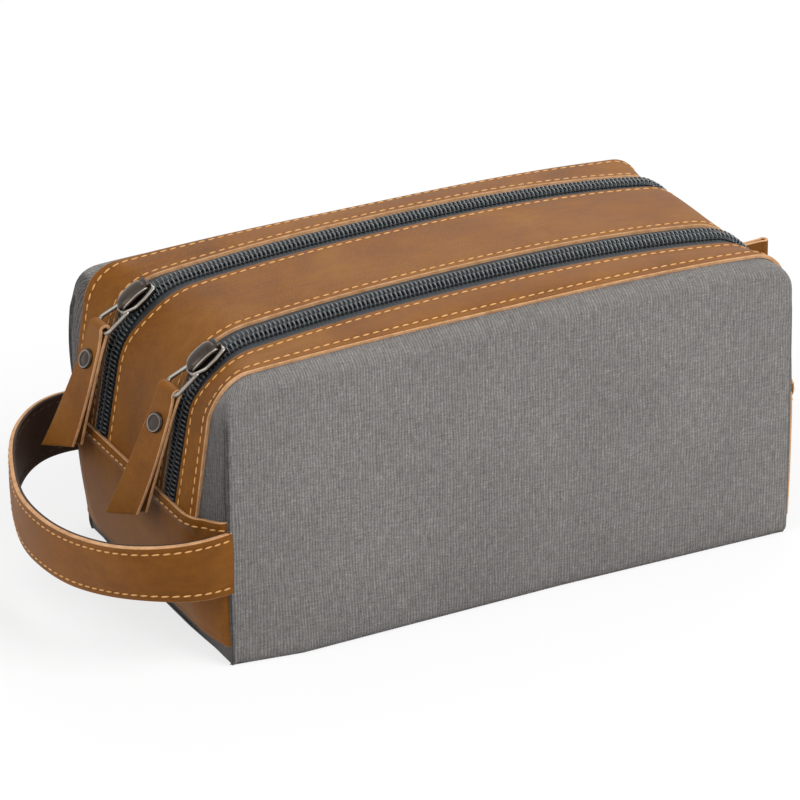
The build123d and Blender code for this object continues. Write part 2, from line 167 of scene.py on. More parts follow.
class Finish:
    """A material with the nodes that colour, roughen and emboss it."""

    def __init__(self, name):
        self.material = bpy.data.materials.new(name)
        self.material.use_nodes = True
        self.tree = self.material.node_tree
        self.tree.nodes.clear()

    def node(self, kind, settings, inputs, output=0):
        """Add a node, with its settings, then the values or links of its sockets."""
        made = self.tree.nodes.new(kind)
        for key, value in settings.items():
            if key == "stops":
                stops = made.color_ramp.elements
                while len(stops) < len(value):
                    stops.new(0.5)
                for stop, (place, colour) in zip(stops, value):
                    stop.position = place
                    stop.color = colour
            else:
                setattr(made, key, value)
        for key, value in inputs.items():
            if isinstance(value, Wire):
                self.tree.links.new(value.socket, made.inputs[key])
            elif value is not None:
                made.inputs[key].default_value = value
        return Wire(self, made.outputs[output]) if len(made.outputs) else None

    def place(self):
        """Where a point is on the object, in metres."""
        return self.node("ShaderNodeTexCoord", {}, {}, "Object")

    def parts(self, vector):
        """The three numbers of a vector."""
        split = self.tree.nodes.new("ShaderNodeSeparateXYZ")
        self.tree.links.new(vector.socket, split.inputs[0])
        return [Wire(self, socket) for socket in split.outputs]

    def noise(self, vector, scale, detail=2.0, rough=0.5, twist=0.0):
        """Cloudy noise between 0 and 1."""
        return self.node(
            "ShaderNodeTexNoise",
            {},
            {"Vector": vector, "Scale": scale, "Detail": detail, "Roughness": rough,
             "Distortion": twist},
        )

    def fibres(self, vector, scales, detail=2.0, rough=0.5):
        """Noise with its own scale each way."""
        stretched = self.node("ShaderNodeMapping", {}, {"Vector": vector, "Scale": scales})
        return self.noise(stretched, 1.0, detail, rough)

    def ramp(self, share, *stops):
        """A colour from a row of others."""
        return self.node("ShaderNodeValToRGB", {"stops": stops}, {0: share})

    def mixed(self, share, first, second):
        """A colour between two others."""
        return self.node(
            "ShaderNodeMix", {"data_type": "RGBA"}, {0: share, 6: first, 7: second}, 2
        )

    def emboss(self, height, depth):
        """A normal for a surface whose height varies, by so many metres at the most."""
        return self.node(
            "ShaderNodeBump", {}, {"Strength": 1.0, "Distance": depth, "Height": height}
        )

    def shade(self, colour, roughness, normal=None, metallic=0.0, **sockets):
        """Finish the material with the plain surface shader."""
        inputs = {
            "Base Color": colour,
            "Roughness": roughness,
            "Normal": normal,
            "Metallic": metallic,
        }
        inputs.update({key.replace("_", " "): value for key, value in sockets.items()})
        surface = self.node("ShaderNodeBsdfPrincipled", {}, inputs)
        self.node("ShaderNodeOutputMaterial", {}, {"Surface": surface})
        return self.material


class Backdrop(Finish):
    """A finish of the stage, which the camera and reflections see as white."""

    def seen_white(self):
        """1 for what the camera and reflections see, and 0 for what lights the object."""
        paths = self.tree.nodes.new("ShaderNodeLightPath")
        seen = Wire(self, paths.outputs["Is Camera Ray"])
        glossy = Wire(self, paths.outputs["Is Glossy Ray"])
        through = Wire(self, paths.outputs["Is Transmission Ray"])
        return (seen + glossy + through).clamped()


def floor_finish():
    """White floor, of which a share only glows, so that its shadow is faint."""
    finish = Backdrop("floor")
    matt = finish.node(
        "ShaderNodeBsdfDiffuse", {}, {"Color": (0.86, 0.86, 0.86, 1.0), "Roughness": 1.0}
    )
    glow = finish.node("ShaderNodeEmission", {}, {"Color": (1.0, 1.0, 1.0, 1.0), "Strength": 1.0})
    both = finish.node("ShaderNodeMixShader", {}, {0: finish.seen_white() * 0.72, 1: matt, 2: glow})
    finish.node("ShaderNodeOutputMaterial", {}, {"Surface": both})
    return finish.material


floor_mesh = bpy.data.meshes.new("floor")
floor_mesh.from_pydata(
    [(-6.0, -6.0, -0.0002), (6.0, -6.0, -0.0002), (6.0, 6.0, -0.0002), (-6.0, 6.0, -0.0002)],
    [],
    [(0, 1, 2, 3)],
)
floor_mesh.materials.append(floor_finish())
floor = linked("floor", floor_mesh)

world = bpy.data.worlds.new("room")
bpy.context.scene.world = world
world.use_nodes = True
world.node_tree.nodes.clear()
room = Backdrop("room_nodes")
bpy.data.materials.remove(room.material)
room.tree = world.node_tree
strength = room.seen_white() * 0.4 + 0.6
light = room.node("ShaderNodeBackground", {}, {"Color": (1.0, 1.0, 1.0, 1.0), "Strength": strength})
room.node("ShaderNodeOutputWorld", {}, {"Surface": light})
bpy.context.scene.view_settings.view_transform = "Standard"


# Canvas of the body: a front and a rear panel of grey heathered canvas with a fine upright rib.
# Each is cut in one piece, over the top edge and round the pressed corners into the end gussets.
half_length, half_width = 130.0, 72.0
level_half = 50.0
crown_height, widest_height, fuller_end = 130.9, 48.0, 2.8
steps_down = 700


def eased_step(values, low, high):
    """0 below one value and 1 above another, with a soft change between them."""
    share = np.clip((values - low) / (high - low), 0, 1)
    return share**2 * (3 - 2 * share)


def run_along(points):
    """How far each point of a line is from its first one, along the line."""
    return np.concatenate([[0.0], np.cumsum(np.linalg.norm(np.diff(points, axis=0), axis=1))])


def outline(y, end):
    """The left (-1) or right (1) half of the bag's section at a distance from its middle, crown to
    foot, in even steps, and its length. The right end stands fuller than the left one."""
    # How far the place is on its way from the level middle to the crease, and from front to rear
    share = min(max((abs(y) - level_half) / (half_width - level_half), 0.0), 1.0)
    rounding = 1 - math.sqrt(1 - share**2)
    fold = share**1.5
    fall = y**2 / 3000 + 8.2 * rounding if y < 0 else y**2 / 800 + 3.4 * rounding
    top = crown_height - fall
    boxy = min(max((abs(y) - 30.0) / 42.0, 0.0), 1.0) ** 1.25
    behind = min(max((y + 10.0) / 50.0, 0.0), 1.0)
    # Radii of the crown, the shoulder and the side, the side's lean and how far its foot bulges
    crown = 900 + 2100 * fold
    shoulder = 38.6 - 31.4 * boxy if end < 0 else 22.0 - 5.0 * behind - (14.0 - 4.0 * behind) * fold
    side = 70 + 1430 * fold**4
    lean = math.radians(10.5 - 9.9 * fold)
    bulge = 9.9 - 9.1 * fold
    foot = (bulge**2 + widest_height**2) / (2 * bulge)
    side_centre = np.array([half_length + bulge - side, widest_height])
    foot_centre = np.array([half_length + bulge - foot, widest_height])
    crown_centre = np.array([0.0, top - crown])
    face = np.array([math.cos(lean), math.sin(lean)])
    rise = np.array([-math.sin(lean), math.cos(lean)])
    across = float(side_centre @ face) + side - shoulder
    along = float(crown_centre @ rise)
    spare = (crown - shoulder) ** 2 - across**2 + 2 * across * float(crown_centre @ face)
    up = along + math.sqrt(along**2 + spare - float(crown_centre @ crown_centre))
    shoulder_centre = face * across + rise * up
    crown_turn = math.atan2(*(shoulder_centre - crown_centre)[::-1])

    def arc(centre, radius, start, end):
        angles = np.linspace(start, end, 200)
        return centre + radius * np.stack([np.cos(angles), np.sin(angles)], axis=1)

    points = np.concatenate([
        arc(crown_centre, crown, math.pi / 2, crown_turn),
        arc(shoulder_centre, shoulder, crown_turn, lean),
        arc(side_centre, side, lean, 0.0),
        arc(foot_centre, foot, 0.0, -math.asin(widest_height / foot)),
    ])
    raised = fuller_end * eased_step(end * points[:, 0], -30, 110)
    points[:, 1] += raised * np.clip(points[:, 1] / 125, 0, 1) ** 1.5
    run = run_along(points)
    even = np.linspace(0.0, run[-1], steps_down + 1)
    steady = np.stack([np.interp(even, run, points[:, i]) for i in range(2)], axis=1)
    return steady, run[-1]


stations = np.arange(-72, 73)
sections = [[outline(float(y), end) for y in stations] for end in (-1, 1)]
section_points = np.array([[points for points, _ in half] for half in sections])
section_runs = np.array([[run for _, run in half] for half in sections])


gusset_push, rear_drop = 5.8, 1.6
bow_places, bow_depths = [-130, -100, -40, 20, 130], [0, 3.9, 1.9, 0, 0]


def slumped(points):
    """The same points, with the rear gusset of the left end pushed, the lower edges of the left
    end bowed and the rear wall leaning, as in the photograph."""
    points = np.array(points, float)
    x, y, z = points[..., 0], points[..., 1], points[..., 2]
    push = np.exp(-(((y - 74) / 17) ** 2) - ((z - 88) / 36) ** 2) * np.clip(-x / 90 - 0.4, 0, 1)
    points[..., 0] -= gusset_push * push
    bow = np.interp(x, bow_places, bow_depths)
    bow = bow * np.exp(-((z / 26) ** 2)) * np.clip((np.abs(y) - 56) / 14, 0, 1)
    points[..., 1] += np.sign(y) * bow
    tilt = np.clip(x / 110, -1, 1) * np.clip((y - 20) / 50, 0, 1) * np.clip((z - 60) / 60, 0, 1)
    points[..., 2] -= rear_drop * tilt
    return points


def lies_at(y, run):
    """Points of the canvas level, so far from the middle and so far along the section from the
    crown, the left side counted as minus. In millimetres."""
    y, run = np.broadcast_arrays(np.asarray(y, float), np.asarray(run, float))
    half = (run > 0).astype(int)
    place = np.clip(y - stations[0], 0, len(stations) - 1.001)
    low = place.astype(int)
    part = (place - low)[..., None]
    whole = (
        section_runs[half, low] * (1 - part[..., 0]) + section_runs[half, low + 1] * part[..., 0]
    )
    down = np.clip(np.abs(run) / whole, 0, 1) * steps_down
    step = np.minimum(down.astype(int), steps_down - 1)
    rest = (down - step)[..., None]

    def at(station):
        return (
            section_points[half, station, step] * (1 - rest)
            + section_points[half, station, step + 1] * rest
        )

    flat = at(low) * (1 - part) + at(low + 1) * part
    return slumped(np.stack([np.sign(run) * flat[..., 0], y, flat[..., 1]], axis=-1))


def faces_at(y, run):
    """The outward normals at the same places."""
    run = np.where(np.abs(run) < 0.6, 0.6, run)
    across = lies_at(np.asarray(y) + 0.7, run) - lies_at(np.asarray(y) - 0.7, run)
    along = lies_at(y, np.asarray(run) + 0.5) - lies_at(y, np.asarray(run) - 0.5)
    normal = np.cross(along, across)
    normal *= np.sign((normal * (lies_at(y, run) - (0, 0, 40.0))).sum(-1, keepdims=True))
    return unit(normal)


def on_bag(y, run, out=0.0):
    """Points that stand out from the canvas level by so much."""
    out = np.asarray(out, float)
    return lies_at(y, run) + faces_at(y, run) * (out[..., None] if out.ndim else out)


def run_at_height(y, height, end=-1):
    """How far along the section from the crown one of its ends comes down to a height."""
    runs = []
    for points, run in sections[0 if end < 0 else 1]:
        runs.append(np.interp(height, points[::-1, 1], np.linspace(run, 0.0, steps_down + 1)))
    return np.interp(y, stations, runs)


def over_bag(y, height, along):
    """Places along the section, from a height on the left end (0) to the same height on the right
    end (1)."""
    low, high = run_at_height(y, height), run_at_height(y, height, 1)
    return -low + (low + high) * along


def smooth_wobble(points, size, seed):
    """A gentle unevenness between -1 and 1, about so many millimetres from hump to hump."""
    rng = np.random.default_rng(seed)
    total = np.zeros(len(points))
    for _ in range(7):
        heading = rng.normal(size=3)
        heading *= 2 * math.pi / (size * rng.uniform(0.7, 1.6) * np.linalg.norm(heading))
        total += np.sin(points @ heading + rng.uniform(0, 2 * math.pi))
    return total / 4.2


def add_piece(name, points, faces, materials, face_materials=None, smooth=True):
    """A mesh object from points in millimetres."""
    mesh = bpy.data.meshes.new(name)
    mesh.from_pydata((np.asarray(points) * 0.001).tolist(), [], [list(map(int, f)) for f in faces])
    for material in materials:
        mesh.materials.append(material)
    if face_materials is not None:
        mesh.polygons.foreach_set("material_index", np.asarray(face_materials, np.int32))
    flags = np.full(len(mesh.polygons), True) if smooth is True else np.asarray(smooth, bool)
    mesh.polygons.foreach_set("use_smooth", flags)
    mesh.update()
    return linked(name, mesh)


def add_uv(piece, name, coordinates):
    """A UV map from one pair of numbers for each point of the mesh."""
    layer = piece.data.uv_layers.new(name=name)
    corner_points = np.zeros(len(piece.data.loops), np.int32)
    piece.data.loops.foreach_get("vertex_index", corner_points)
    layer.data.foreach_set("uv", np.asarray(coordinates, np.float32)[corner_points].ravel())


def made_plain(piece):
    """Turn what the modifier of a piece makes into its own mesh."""
    bpy.context.view_layer.update()
    evaluated = piece.evaluated_get(bpy.context.evaluated_depsgraph_get())
    mesh = bpy.data.meshes.new_from_object(evaluated)
    mesh.name = piece.name
    piece.modifiers.clear()
    old, piece.data = piece.data, mesh
    bpy.data.meshes.remove(old)


def thickened(piece, thickness):
    """Give a thin skin its thickness in metres, inwards."""
    modifier = piece.modifiers.new("thickness", "SOLIDIFY")
    modifier.thickness = thickness
    modifier.offset = -1.0
    made_plain(piece)


def grid_faces(rows, columns, first=0):
    """Four-sided faces of a grid of points."""
    index = np.arange(rows * columns).reshape(rows, columns) + first
    corners = [index[:-1, :-1], index[:-1, 1:], index[1:, 1:], index[1:, :-1]]
    return np.stack(corners, axis=-1).reshape(-1, 4)


rib_pitch, weft_pitch = 0.00128, 0.00074


def canvas_finish():
    """Grey heathered canvas: an upright rib, crossing threads, slubs and a faint cloudiness. The
    end gussets are darker by painted shade.
    """
    finish = Finish("canvas")
    cloth = finish.node("ShaderNodeUVMap", {"uv_map": "cloth"}, {})
    across, up, _ = finish.parts(cloth)
    wander = finish.fibres(cloth, (260.0, 90.0, 1.0))
    ribs_so_far = across / rib_pitch
    rib = (ribs_so_far + wander * 1.3).sine()
    weft = (up / weft_pitch + wander * 1.1 + ribs_so_far.math("FLOOR", ribs_so_far) * 0.5).sine()
    slub = finish.fibres(cloth, (780.0, 150.0, 1.0), 3.0, 0.65)
    pick = finish.fibres(cloth, (210.0, 900.0, 1.0), 2.0, 0.6)
    speck = finish.fibres(cloth, (1500.0, 1150.0, 1.0), 2.0, 0.7)
    cloud = finish.noise(finish.place(), 21.0, 3.0, 0.55)
    # Painted shade: the canvas of the end gussets, past 128.5 mm either side of the middle, is
    # darkened because it stands in shade.
    sideways = finish.parts(finish.place())[0]
    gusset_painted_shade = sideways.math("ABSOLUTE", sideways).steps(0.1285, 0.1310)
    tone = (
        rib * 0.20 + weft * 0.12 + slub * 0.50 + pick * 0.40 + speck * 0.72 + cloud * 0.20 - 0.58
        - gusset_painted_shade * 0.33
    ).clamped()
    colour = finish.ramp(tone, (0.0, linear(70, 67, 66)), (0.38, linear(110, 107, 105)),
                         (0.62, linear(136, 133, 130)), (1.0, linear(188, 185, 180)))
    height = rib * 0.55 + weft * 0.25 + slub * 0.45 + speck * 0.3
    normal = finish.emboss(height, 0.00030)
    return finish.shade(colour, 0.93, normal, Sheen_Weight=0.12, Sheen_Roughness=0.5,
                        Specular_IOR_Level=0.2)


canvas = canvas_finish()
canvas_thickness = 1.0
crease_dip, left_crease, right_crease = 2.2, 0.9, -0.5
wall_belly, foot_radius = 1.0, 4.5


def canvas_panel(name, side):
    """Rings of the top and the gussets, closed by the side wall, which is a net between them."""
    near_crease = [0.9, 0.93, 0.955, 0.975, 0.988, 0.996, 1.0]
    shares = np.concatenate([np.linspace(0.03, 0.86, 16), near_crease])
    half = np.concatenate([
        np.linspace(0, 84, 43), np.linspace(86, 150, 54), np.linspace(151.5, 244, 60)
    ])
    down = half / half[-1] * steps_down
    rings = []
    for share in shares:
        y = side * (level_half + share * (half_width - level_half))
        halves = []
        for end in (-1, 1):
            points, _ = outline(y, end)
            x, z = (np.interp(down, np.arange(steps_down + 1), part) for part in points.T)
            halves.append(np.stack([end * x, np.full(len(down), y), z], axis=1))
        ring = np.concatenate([halves[0][:0:-1], halves[1]])
        # The pressed corner: the gusset dips just beside the crease, so that the crease stands up
        x = ring[:, 0]
        on_end = np.clip((np.abs(x) - 112) / 14, 0, 1) * np.clip((118 - ring[:, 2]) / 14, 0, 1)
        dip = crease_dip * math.exp(-(((share - 0.945) / 0.03) ** 2))
        lift = np.where(x < 0, left_crease, right_crease) * math.exp(-(((share - 1) / 0.03) ** 2))
        ring[:, 0] = x + np.sign(x) * on_end * (lift - dip)
        rings.append(ring)
    rings = np.array(rings)
    count = rings.shape[1]
    border = rings[-1]
    side_count = 92
    left_edge = border[:side_count]
    top_edge = border[side_count - 1:count - side_count + 1]
    right_edge = border[count - side_count:][::-1]
    across_count = len(top_edge)
    bottom_edge = np.linspace(left_edge[0], right_edge[0], across_count)
    s = np.linspace(0, 1, across_count)[None, :, None]
    t = np.linspace(0, 1, side_count)[:, None, None]
    wall = (
        (1 - t) * bottom_edge[None] + t * top_edge[None]
        + (1 - s) * left_edge[:, None] + s * right_edge[:, None]
        - (1 - s) * (1 - t) * left_edge[0] - s * (1 - t) * right_edge[0]
        - (1 - s) * t * left_edge[-1] - s * t * right_edge[-1]
    )
    points = slumped(np.concatenate([rings.reshape(-1, 3), wall.reshape(-1, 3)]))
    faces = np.concatenate([
        grid_faces(len(shares), count),
        grid_faces(side_count, across_count, len(shares) * count),
    ])
    return add_piece(name, points, faces, [canvas])


def merged(piece, gap=0.02):
    """Join the points of a piece that lie within so many millimetres of each other."""
    form = bmesh.new()
    form.from_mesh(piece.data)
    bmesh.ops.remove_doubles(form, verts=form.verts, dist=gap * 0.001)
    bmesh.ops.recalc_face_normals(form, faces=form.faces)
    form.to_mesh(piece.data)
    form.free()


def point_array(piece):
    """The points of a piece, in millimetres."""
    points = np.zeros(len(piece.data.vertices) * 3)
    piece.data.vertices.foreach_get("co", points)
    return points.reshape(-1, 3) * 1000


def set_points(piece, points):
    """Move the points of a piece."""
    piece.data.vertices.foreach_set("co", (points * 0.001).ravel())
    piece.data.update()


def eased(piece, weight, rounds):
    """Smooth a piece where the weight is above 0."""
    edges = np.zeros(len(piece.data.edges) * 2, np.int32)
    piece.data.edges.foreach_get("vertices", edges)
    edges = edges.reshape(-1, 2)
    points = point_array(piece)
    links = np.bincount(edges.ravel(), minlength=len(points))[:, None]
    for _ in range(rounds):
        total = np.zeros_like(points)
        np.add.at(total, edges[:, 0], points[edges[:, 1]])
        np.add.at(total, edges[:, 1], points[edges[:, 0]])
        points += (total / links - points) * weight[:, None] * 0.8
    set_points(piece, points)


for name, side in (("front", -1), ("rear", 1)):
    panel = canvas_panel(f"{name}_canvas", side)
    merged(panel)
    points = point_array(panel)
    x, y, z = np.abs(points[:, 0]), np.abs(points[:, 1]), points[:, 2]
    near_edge = np.clip(1 - np.hypot(np.maximum(71.0 - y, 0), np.maximum(118 - z, 0)) / 13, 0, 1)
    eased(panel, near_edge**0.7 * np.clip((y - 58) / 5, 0, 1), 12)
    points = point_array(panel)
    x, y, z = np.abs(points[:, 0]), np.abs(points[:, 1]), points[:, 2]
    on_wall = np.clip((y - 69.5) / 2.2, 0, 1)
    belly = np.clip(1 - (x / 128) ** 4, 0, 1) * np.sin(np.clip(z / 117, 0, 1) * math.pi) ** 0.8
    swell = wall_belly + 0.8 * smooth_wobble(points, 70, 5 + side)
    points[:, 1] += side * on_wall * belly * swell
    foot = np.clip((foot_radius - points[:, 2]) / foot_radius, 0, 1)
    points[:, 1] -= side * 2.2 * (1 - np.sqrt(1 - foot**2)) * on_wall
    set_points(panel, points)
    steep = eased_step(x, 104, 130)
    u = points[:, 0] + np.sign(points[:, 0]) * (half_width - y) * steep
    v = points[:, 2] + (half_width - y) * (1 - steep)
    add_uv(panel, "cloth", np.stack([u, v], axis=1) * 0.001)
    thickened(panel, canvas_thickness * 0.001)
    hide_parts(f"{name}_canvas_panel")
    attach(panel, "bag")


# Leather of the top and the ends: waxed brown hide with a golden cast where it bends, cut in strips
# with pale raw edges. The two side strips and the centre panel carry the zips between them, and an
# end panel is laid over their ends.
def leather_finish(name, dark, middle, light):
    """Waxed hide: soft clouds of tone, fine grain, rubbed scuffs and a dull shine."""
    finish = Finish(name)
    place = finish.place()
    cloud = finish.noise(place, 17.0, 4.0, 0.55, 0.4)
    patch = finish.noise(place, 62.0, 3.0, 0.6, 0.8)
    grain = finish.noise(place, 1350.0, 3.0, 0.6)
    pore = finish.node(
        "ShaderNodeTexVoronoi", {"feature": "DISTANCE_TO_EDGE"}, {"Vector": place, "Scale": 1150.0}
    )
    scuff = finish.fibres(place, (60.0, 340.0, 340.0), 4.0, 0.65)
    tone = (cloud * 0.75 + patch * 0.35 + scuff * 0.30 + grain * 0.16 - 0.28).clamped()
    colour = finish.ramp(tone, (0.12, dark), (0.5, middle), (0.92, light))
    roughness = (0.46 + patch * 0.14 + scuff * 0.10).clamped()
    height = grain * 0.5 + pore.steps(0.0, 0.25) * 0.35 + patch * 0.8
    normal = finish.emboss(height, 0.00016)
    return finish.shade(colour, roughness, normal, Specular_IOR_Level=0.19)


def cut_edge_finish():
    """Raw edge of the hide: pale tan, fibrous and matt."""
    finish = Finish("leather_edge")
    place = finish.place()
    fibre = finish.noise(place, 1500.0, 3.0, 0.65)
    band = finish.noise(place, 240.0, 2.0)
    tone = (fibre * 0.6 + band * 0.55 - 0.05).clamped()
    colour = finish.ramp(tone, (0.2, linear(150, 104, 66)), (0.55, linear(206, 158, 114)),
                         (0.9, linear(228, 186, 146)))
    return finish.shade(colour, 0.8, finish.emboss(fibre, 0.0002), Specular_IOR_Level=0.25)


trim = leather_finish("trim_leather", linear(80, 44, 6), linear(124, 74, 14), linear(152, 103, 40))
cut_edge = cut_edge_finish()
leather_thickness = 1.6
edge_rounding = 0.55
seam_height, end_panel_foot = 62.0, 8.5
centre_half, strip_inner = 24.0, 44.5
strip_outer_top, strip_outer_end, strip_turn_height = 64.0, 57.0, 112.0
stitch_inset = 3.1
pale_border = 0.35


def rolled(inset, rounding=edge_rounding):
    """How far a face falls off near a rolled edge."""
    inside = np.clip(rounding - inset, 0, rounding)
    return rounding - np.sqrt(np.maximum(rounding**2 - inside**2, 0))


def dented(inset, depth):
    """How far a row of stitches pulls a face in."""
    return depth * np.exp(-(((inset - stitch_inset) / 0.75) ** 2))


def edge_profile(inset):
    """How far the face of a hide is from its back, near its rolled edge and its stitches."""
    puff = 0.16 * np.clip((inset - stitch_inset) / 5, 0, 1)
    return leather_thickness - rolled(inset) - dented(inset, 0.22) + puff


def closed_sheet(name, outer, inner, materials, rim=1, inset=None):
    """A sheet from the points of its face and of its back, closed by a rim. Where its points are
    close to the border, the face is pale as the rim is."""
    rows, columns = outer.shape[:2]
    count = rows * columns
    index = np.arange(count).reshape(rows, columns)
    loop = np.concatenate([index[0, :-1], index[:-1, -1], index[-1, :0:-1], index[:0:-1, 0]])
    after = np.roll(loop, -1)
    face = grid_faces(rows, columns)
    border = np.stack([after, loop, loop + count, after + count], axis=1)
    points = np.concatenate([outer.reshape(-1, 3), inner.reshape(-1, 3)])
    faces = np.concatenate([face, face[:, ::-1] + count, border])
    # The middle of the sheet tells on which side its face is
    a, b, c, _ = face[len(face) // 2]
    normal = np.cross(points[b] - points[a], points[c] - points[b])
    if normal @ (points[a] - points[a + count]) < 0:
        faces = faces[:, ::-1]
    pale = np.zeros(len(face))
    if inset is not None:
        pale[inset.reshape(-1)[face].max(axis=1) < pale_border] = rim
    kinds = np.concatenate([pale, pale, np.full(len(border), rim)])
    smooth = np.arange(len(faces)) < 2 * len(face)
    return add_piece(name, points, faces, materials, kinds, smooth)


near_edge_steps = np.array(
    [0, 0.06, 0.16, 0.32, 0.55, 1.0, 1.6, 2.2, 2.6, 2.9, 3.1, 3.3, 3.6, 4.1, 4.8]
)


def spread_across(width, middle, steps):
    """Distances across a strap of some width at each row, close together near its edges."""
    near = steps[None, :] * np.ones((len(width), 1))
    spread = np.linspace(0, 1, middle + 2)[None, 1:-1]
    inner = steps[-1] + (width[:, None] - 2 * steps[-1]) * spread
    return np.concatenate([near, inner, width[:, None] - near[:, ::-1]], axis=1)


def laid_hide(name, y_low, y_high, run_low, run_high, middle, rows, lift=None):
    """A hide on the bag between two lines in y and two ends in run, with rolled edges all round."""
    coarse = np.linspace(0, 1, rows)
    length = float(np.mean(run_high(y_low(coarse)) - run_low(y_low(coarse))))
    fine = near_edge_steps / length
    along = np.concatenate([fine, fine[-1] + (1 - 2 * fine[-1]) * np.linspace(0, 1, rows)[1:-1],
                            1 - fine[::-1]])
    y_low, width = y_low(along)[:, None], y_high(along) - y_low(along)
    across = spread_across(width, middle, near_edge_steps)
    y, width = y_low + across, width[:, None]
    start, end = run_low(y), run_high(y)
    run = start + (end - start) * along[:, None]
    inset = np.minimum(np.minimum(across, width - across),
                       np.minimum(np.abs(run - start), np.abs(end - run)))
    raised = 0.0 * y if lift is None else lift(y, lies_at(y, run)[..., 2])
    outer = on_bag(y, run, raised + edge_profile(inset))
    inner = on_bag(y, run, raised)
    return closed_sheet(name, outer, inner, [trim, cut_edge], inset=inset)


def strip_outer(height):
    """Outer edge of a side strip at a height."""
    part = np.clip((height - seam_height) / (strip_turn_height - seam_height), 0, 1)
    return strip_outer_end + (strip_outer_top - strip_outer_end) * part


tucked = 59.0
strip_line = 60.0
centre_spread, inner_spread, front_tuck, rear_tuck = 3.5, 4.5, 7.5, 2.0


def strip_heights(along):
    """Height of a side strip's outer line, row by row."""
    return lies_at(np.full_like(along, strip_line), over_bag(strip_line, tucked, along))[:, 2]


def drawn_in(along):
    """1 low on the left end, where the leather closes in over the zips, and 0 elsewhere."""
    return np.where(along < 0.5, eased_step(122.0 - strip_heights(along), 0, 18), 0.0)


def centre_edge(along):
    """Half width of the centre panel."""
    return centre_half + centre_spread * drawn_in(along)


def inner_edge(along):
    """Distance of a side strip's inner edge from the middle."""
    return strip_inner - inner_spread * drawn_in(along)


def outer_edge(along, side):
    """Distance of a side strip's outer edge from the middle. On the left end the rear strip lies
    further out than the front one."""
    left = strip_outer_top - (front_tuck if side < 0 else rear_tuck) * drawn_in(along)
    return np.where(along < 0.5, left, strip_outer(strip_heights(along)))


ends = [lambda y, end=end: end * run_at_height(y, tucked, end) for end in (-1, 1)]
centre_lines = lambda along: -centre_edge(along), centre_edge
hides = [(laid_hide("centre_leather", *centre_lines, *ends, 14, 300), "centre_leather_panel")]
for name, side in (("front", -1), ("rear", 1)):
    strip_lines = [
        lambda along, side=side: side * inner_edge(along),
        lambda along, side=side: side * outer_edge(along, side),
    ]
    strip = laid_hide(f"{name}_strip", *strip_lines[::side], *ends, 4, 300)
    hides.append((strip, f"{name}_leather_strip"))


lap_height, sewn_depth, pared_depth = 1.62, 1.7, 1.5


def over_strips(y, height, end):
    """How far an end panel is lifted where it laps over the strips and the zips. It sinks into the
    creases, and the right panel is pared thin on its way there."""
    away = np.abs(y)
    lap = lap_height * eased_step(height, 55.5, 59.0) * eased_step(60.5 - away, 0, 3)
    sewn_in = sewn_depth * np.clip((away - 68.6) / 3, 0, 1) ** 2
    return lap + 0.05 - (sewn_in if end < 0 else pared_depth * eased_step(away, 54, 66))


def end_top(y):
    """Height of an end panel's upper edge, which rises towards the creases."""
    return seam_height + 3.2 * np.clip((np.abs(y) - 46.0) / 26.0, 0, 1) ** 2


def run_down_to(y, heights, end):
    """How far along the section one of its ends comes down to heights that vary."""
    base = run_at_height(y, seam_height, end)
    return base - (heights - seam_height)


end_half = 71.9
panel_sides = [lambda along, edge=edge: np.full_like(along, edge) for edge in (-end_half, end_half)]
for name, side in (("left", -1), ("right", 1)):
    panel_ends = [
        lambda y, side=side: side * run_down_to(y, end_top(y), side),
        lambda y, side=side: side * run_at_height(y, end_panel_foot, side),
    ]
    panel = laid_hide(f"{name}_end", *panel_sides, *panel_ends[::side], 110, 30,
                      lambda y, height, side=side: over_strips(y, height, side))
    hides.append((panel, f"{name}_end_panel"))
for piece, node in hides:
    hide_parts(node)
    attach(piece, "bag")


# Zips of the top. Each has two slate tapes of ribbed nylon under the leather edges, and a coil of
# dark nylon wire on each tape. The loops mesh in the middle, from one end panel to the other.
def painted_end_shade(finish):
    """A share that grows down the ends of the bag, below 118 mm, where painted shade darkens the
    zips.
    """
    height = finish.parts(finish.place())[2]
    return (0.118 - height).steps(0.0, 0.022) * 0.75


def tape_finish():
    """Slate nylon tape with a fine lengthwise rib."""
    finish = Finish("zip_tape")
    along, across, _ = finish.parts(finish.place())
    fleck = finish.noise(finish.place(), 900.0, 2.0, 0.6)
    rib = (across / 0.0012).sine()
    weave = (along / 0.0007 + (across / 0.0018) * 0.5).sine()
    tone = (rib * 0.35 + weave * 0.2 + fleck * 0.7 - 0.2).clamped()
    colour = finish.mixed(tone, linear(18, 21, 24), linear(58, 65, 70))
    # Painted shade: the tape turns darker down the ends of the bag.
    colour = finish.mixed(painted_end_shade(finish), colour, linear(12, 13, 15))
    return finish.shade(colour, 0.82, finish.emboss(rib * 0.6 + fleck * 0.4, 0.0002),
                        Sheen_Weight=0.1)


def coil_finish():
    """Dark nylon wire, smooth and a little shiny."""
    finish = Finish("zip_coil")
    mottle = finish.noise(finish.place(), 420.0, 2.0)
    colour = finish.mixed(mottle, linear(44, 49, 52), linear(88, 96, 98))
    # Painted shade: the coil turns darker down the ends of the bag.
    colour = finish.mixed(painted_end_shade(finish), colour, linear(20, 22, 28))
    return finish.shade(colour, 0.34, finish.emboss(mottle, 0.00005), Specular_IOR_Level=0.6)


tape_material = tape_finish()
coil_material = coil_finish()
zip_centre, tape_reach = 34.25, 15.5


def path_mesh(name, lines):
    """Edges along some lines, each given as points and outward directions, for a node tree."""
    mesh = bpy.data.meshes.new(name)
    points = np.concatenate([line for line, _ in lines])
    outward = np.concatenate([out for _, out in lines])
    edges, first = [], 0
    for line, _ in lines:
        edges += [(first + i, first + i + 1) for i in range(len(line) - 1)]
        first += len(line)
    mesh.from_pydata((points * 0.001).tolist(), edges, [])
    layer = mesh.attributes.new("outward", "FLOAT_VECTOR", "POINT")
    layer.data.foreach_set("vector", outward.astype(np.float32).ravel())
    return linked(name, mesh)


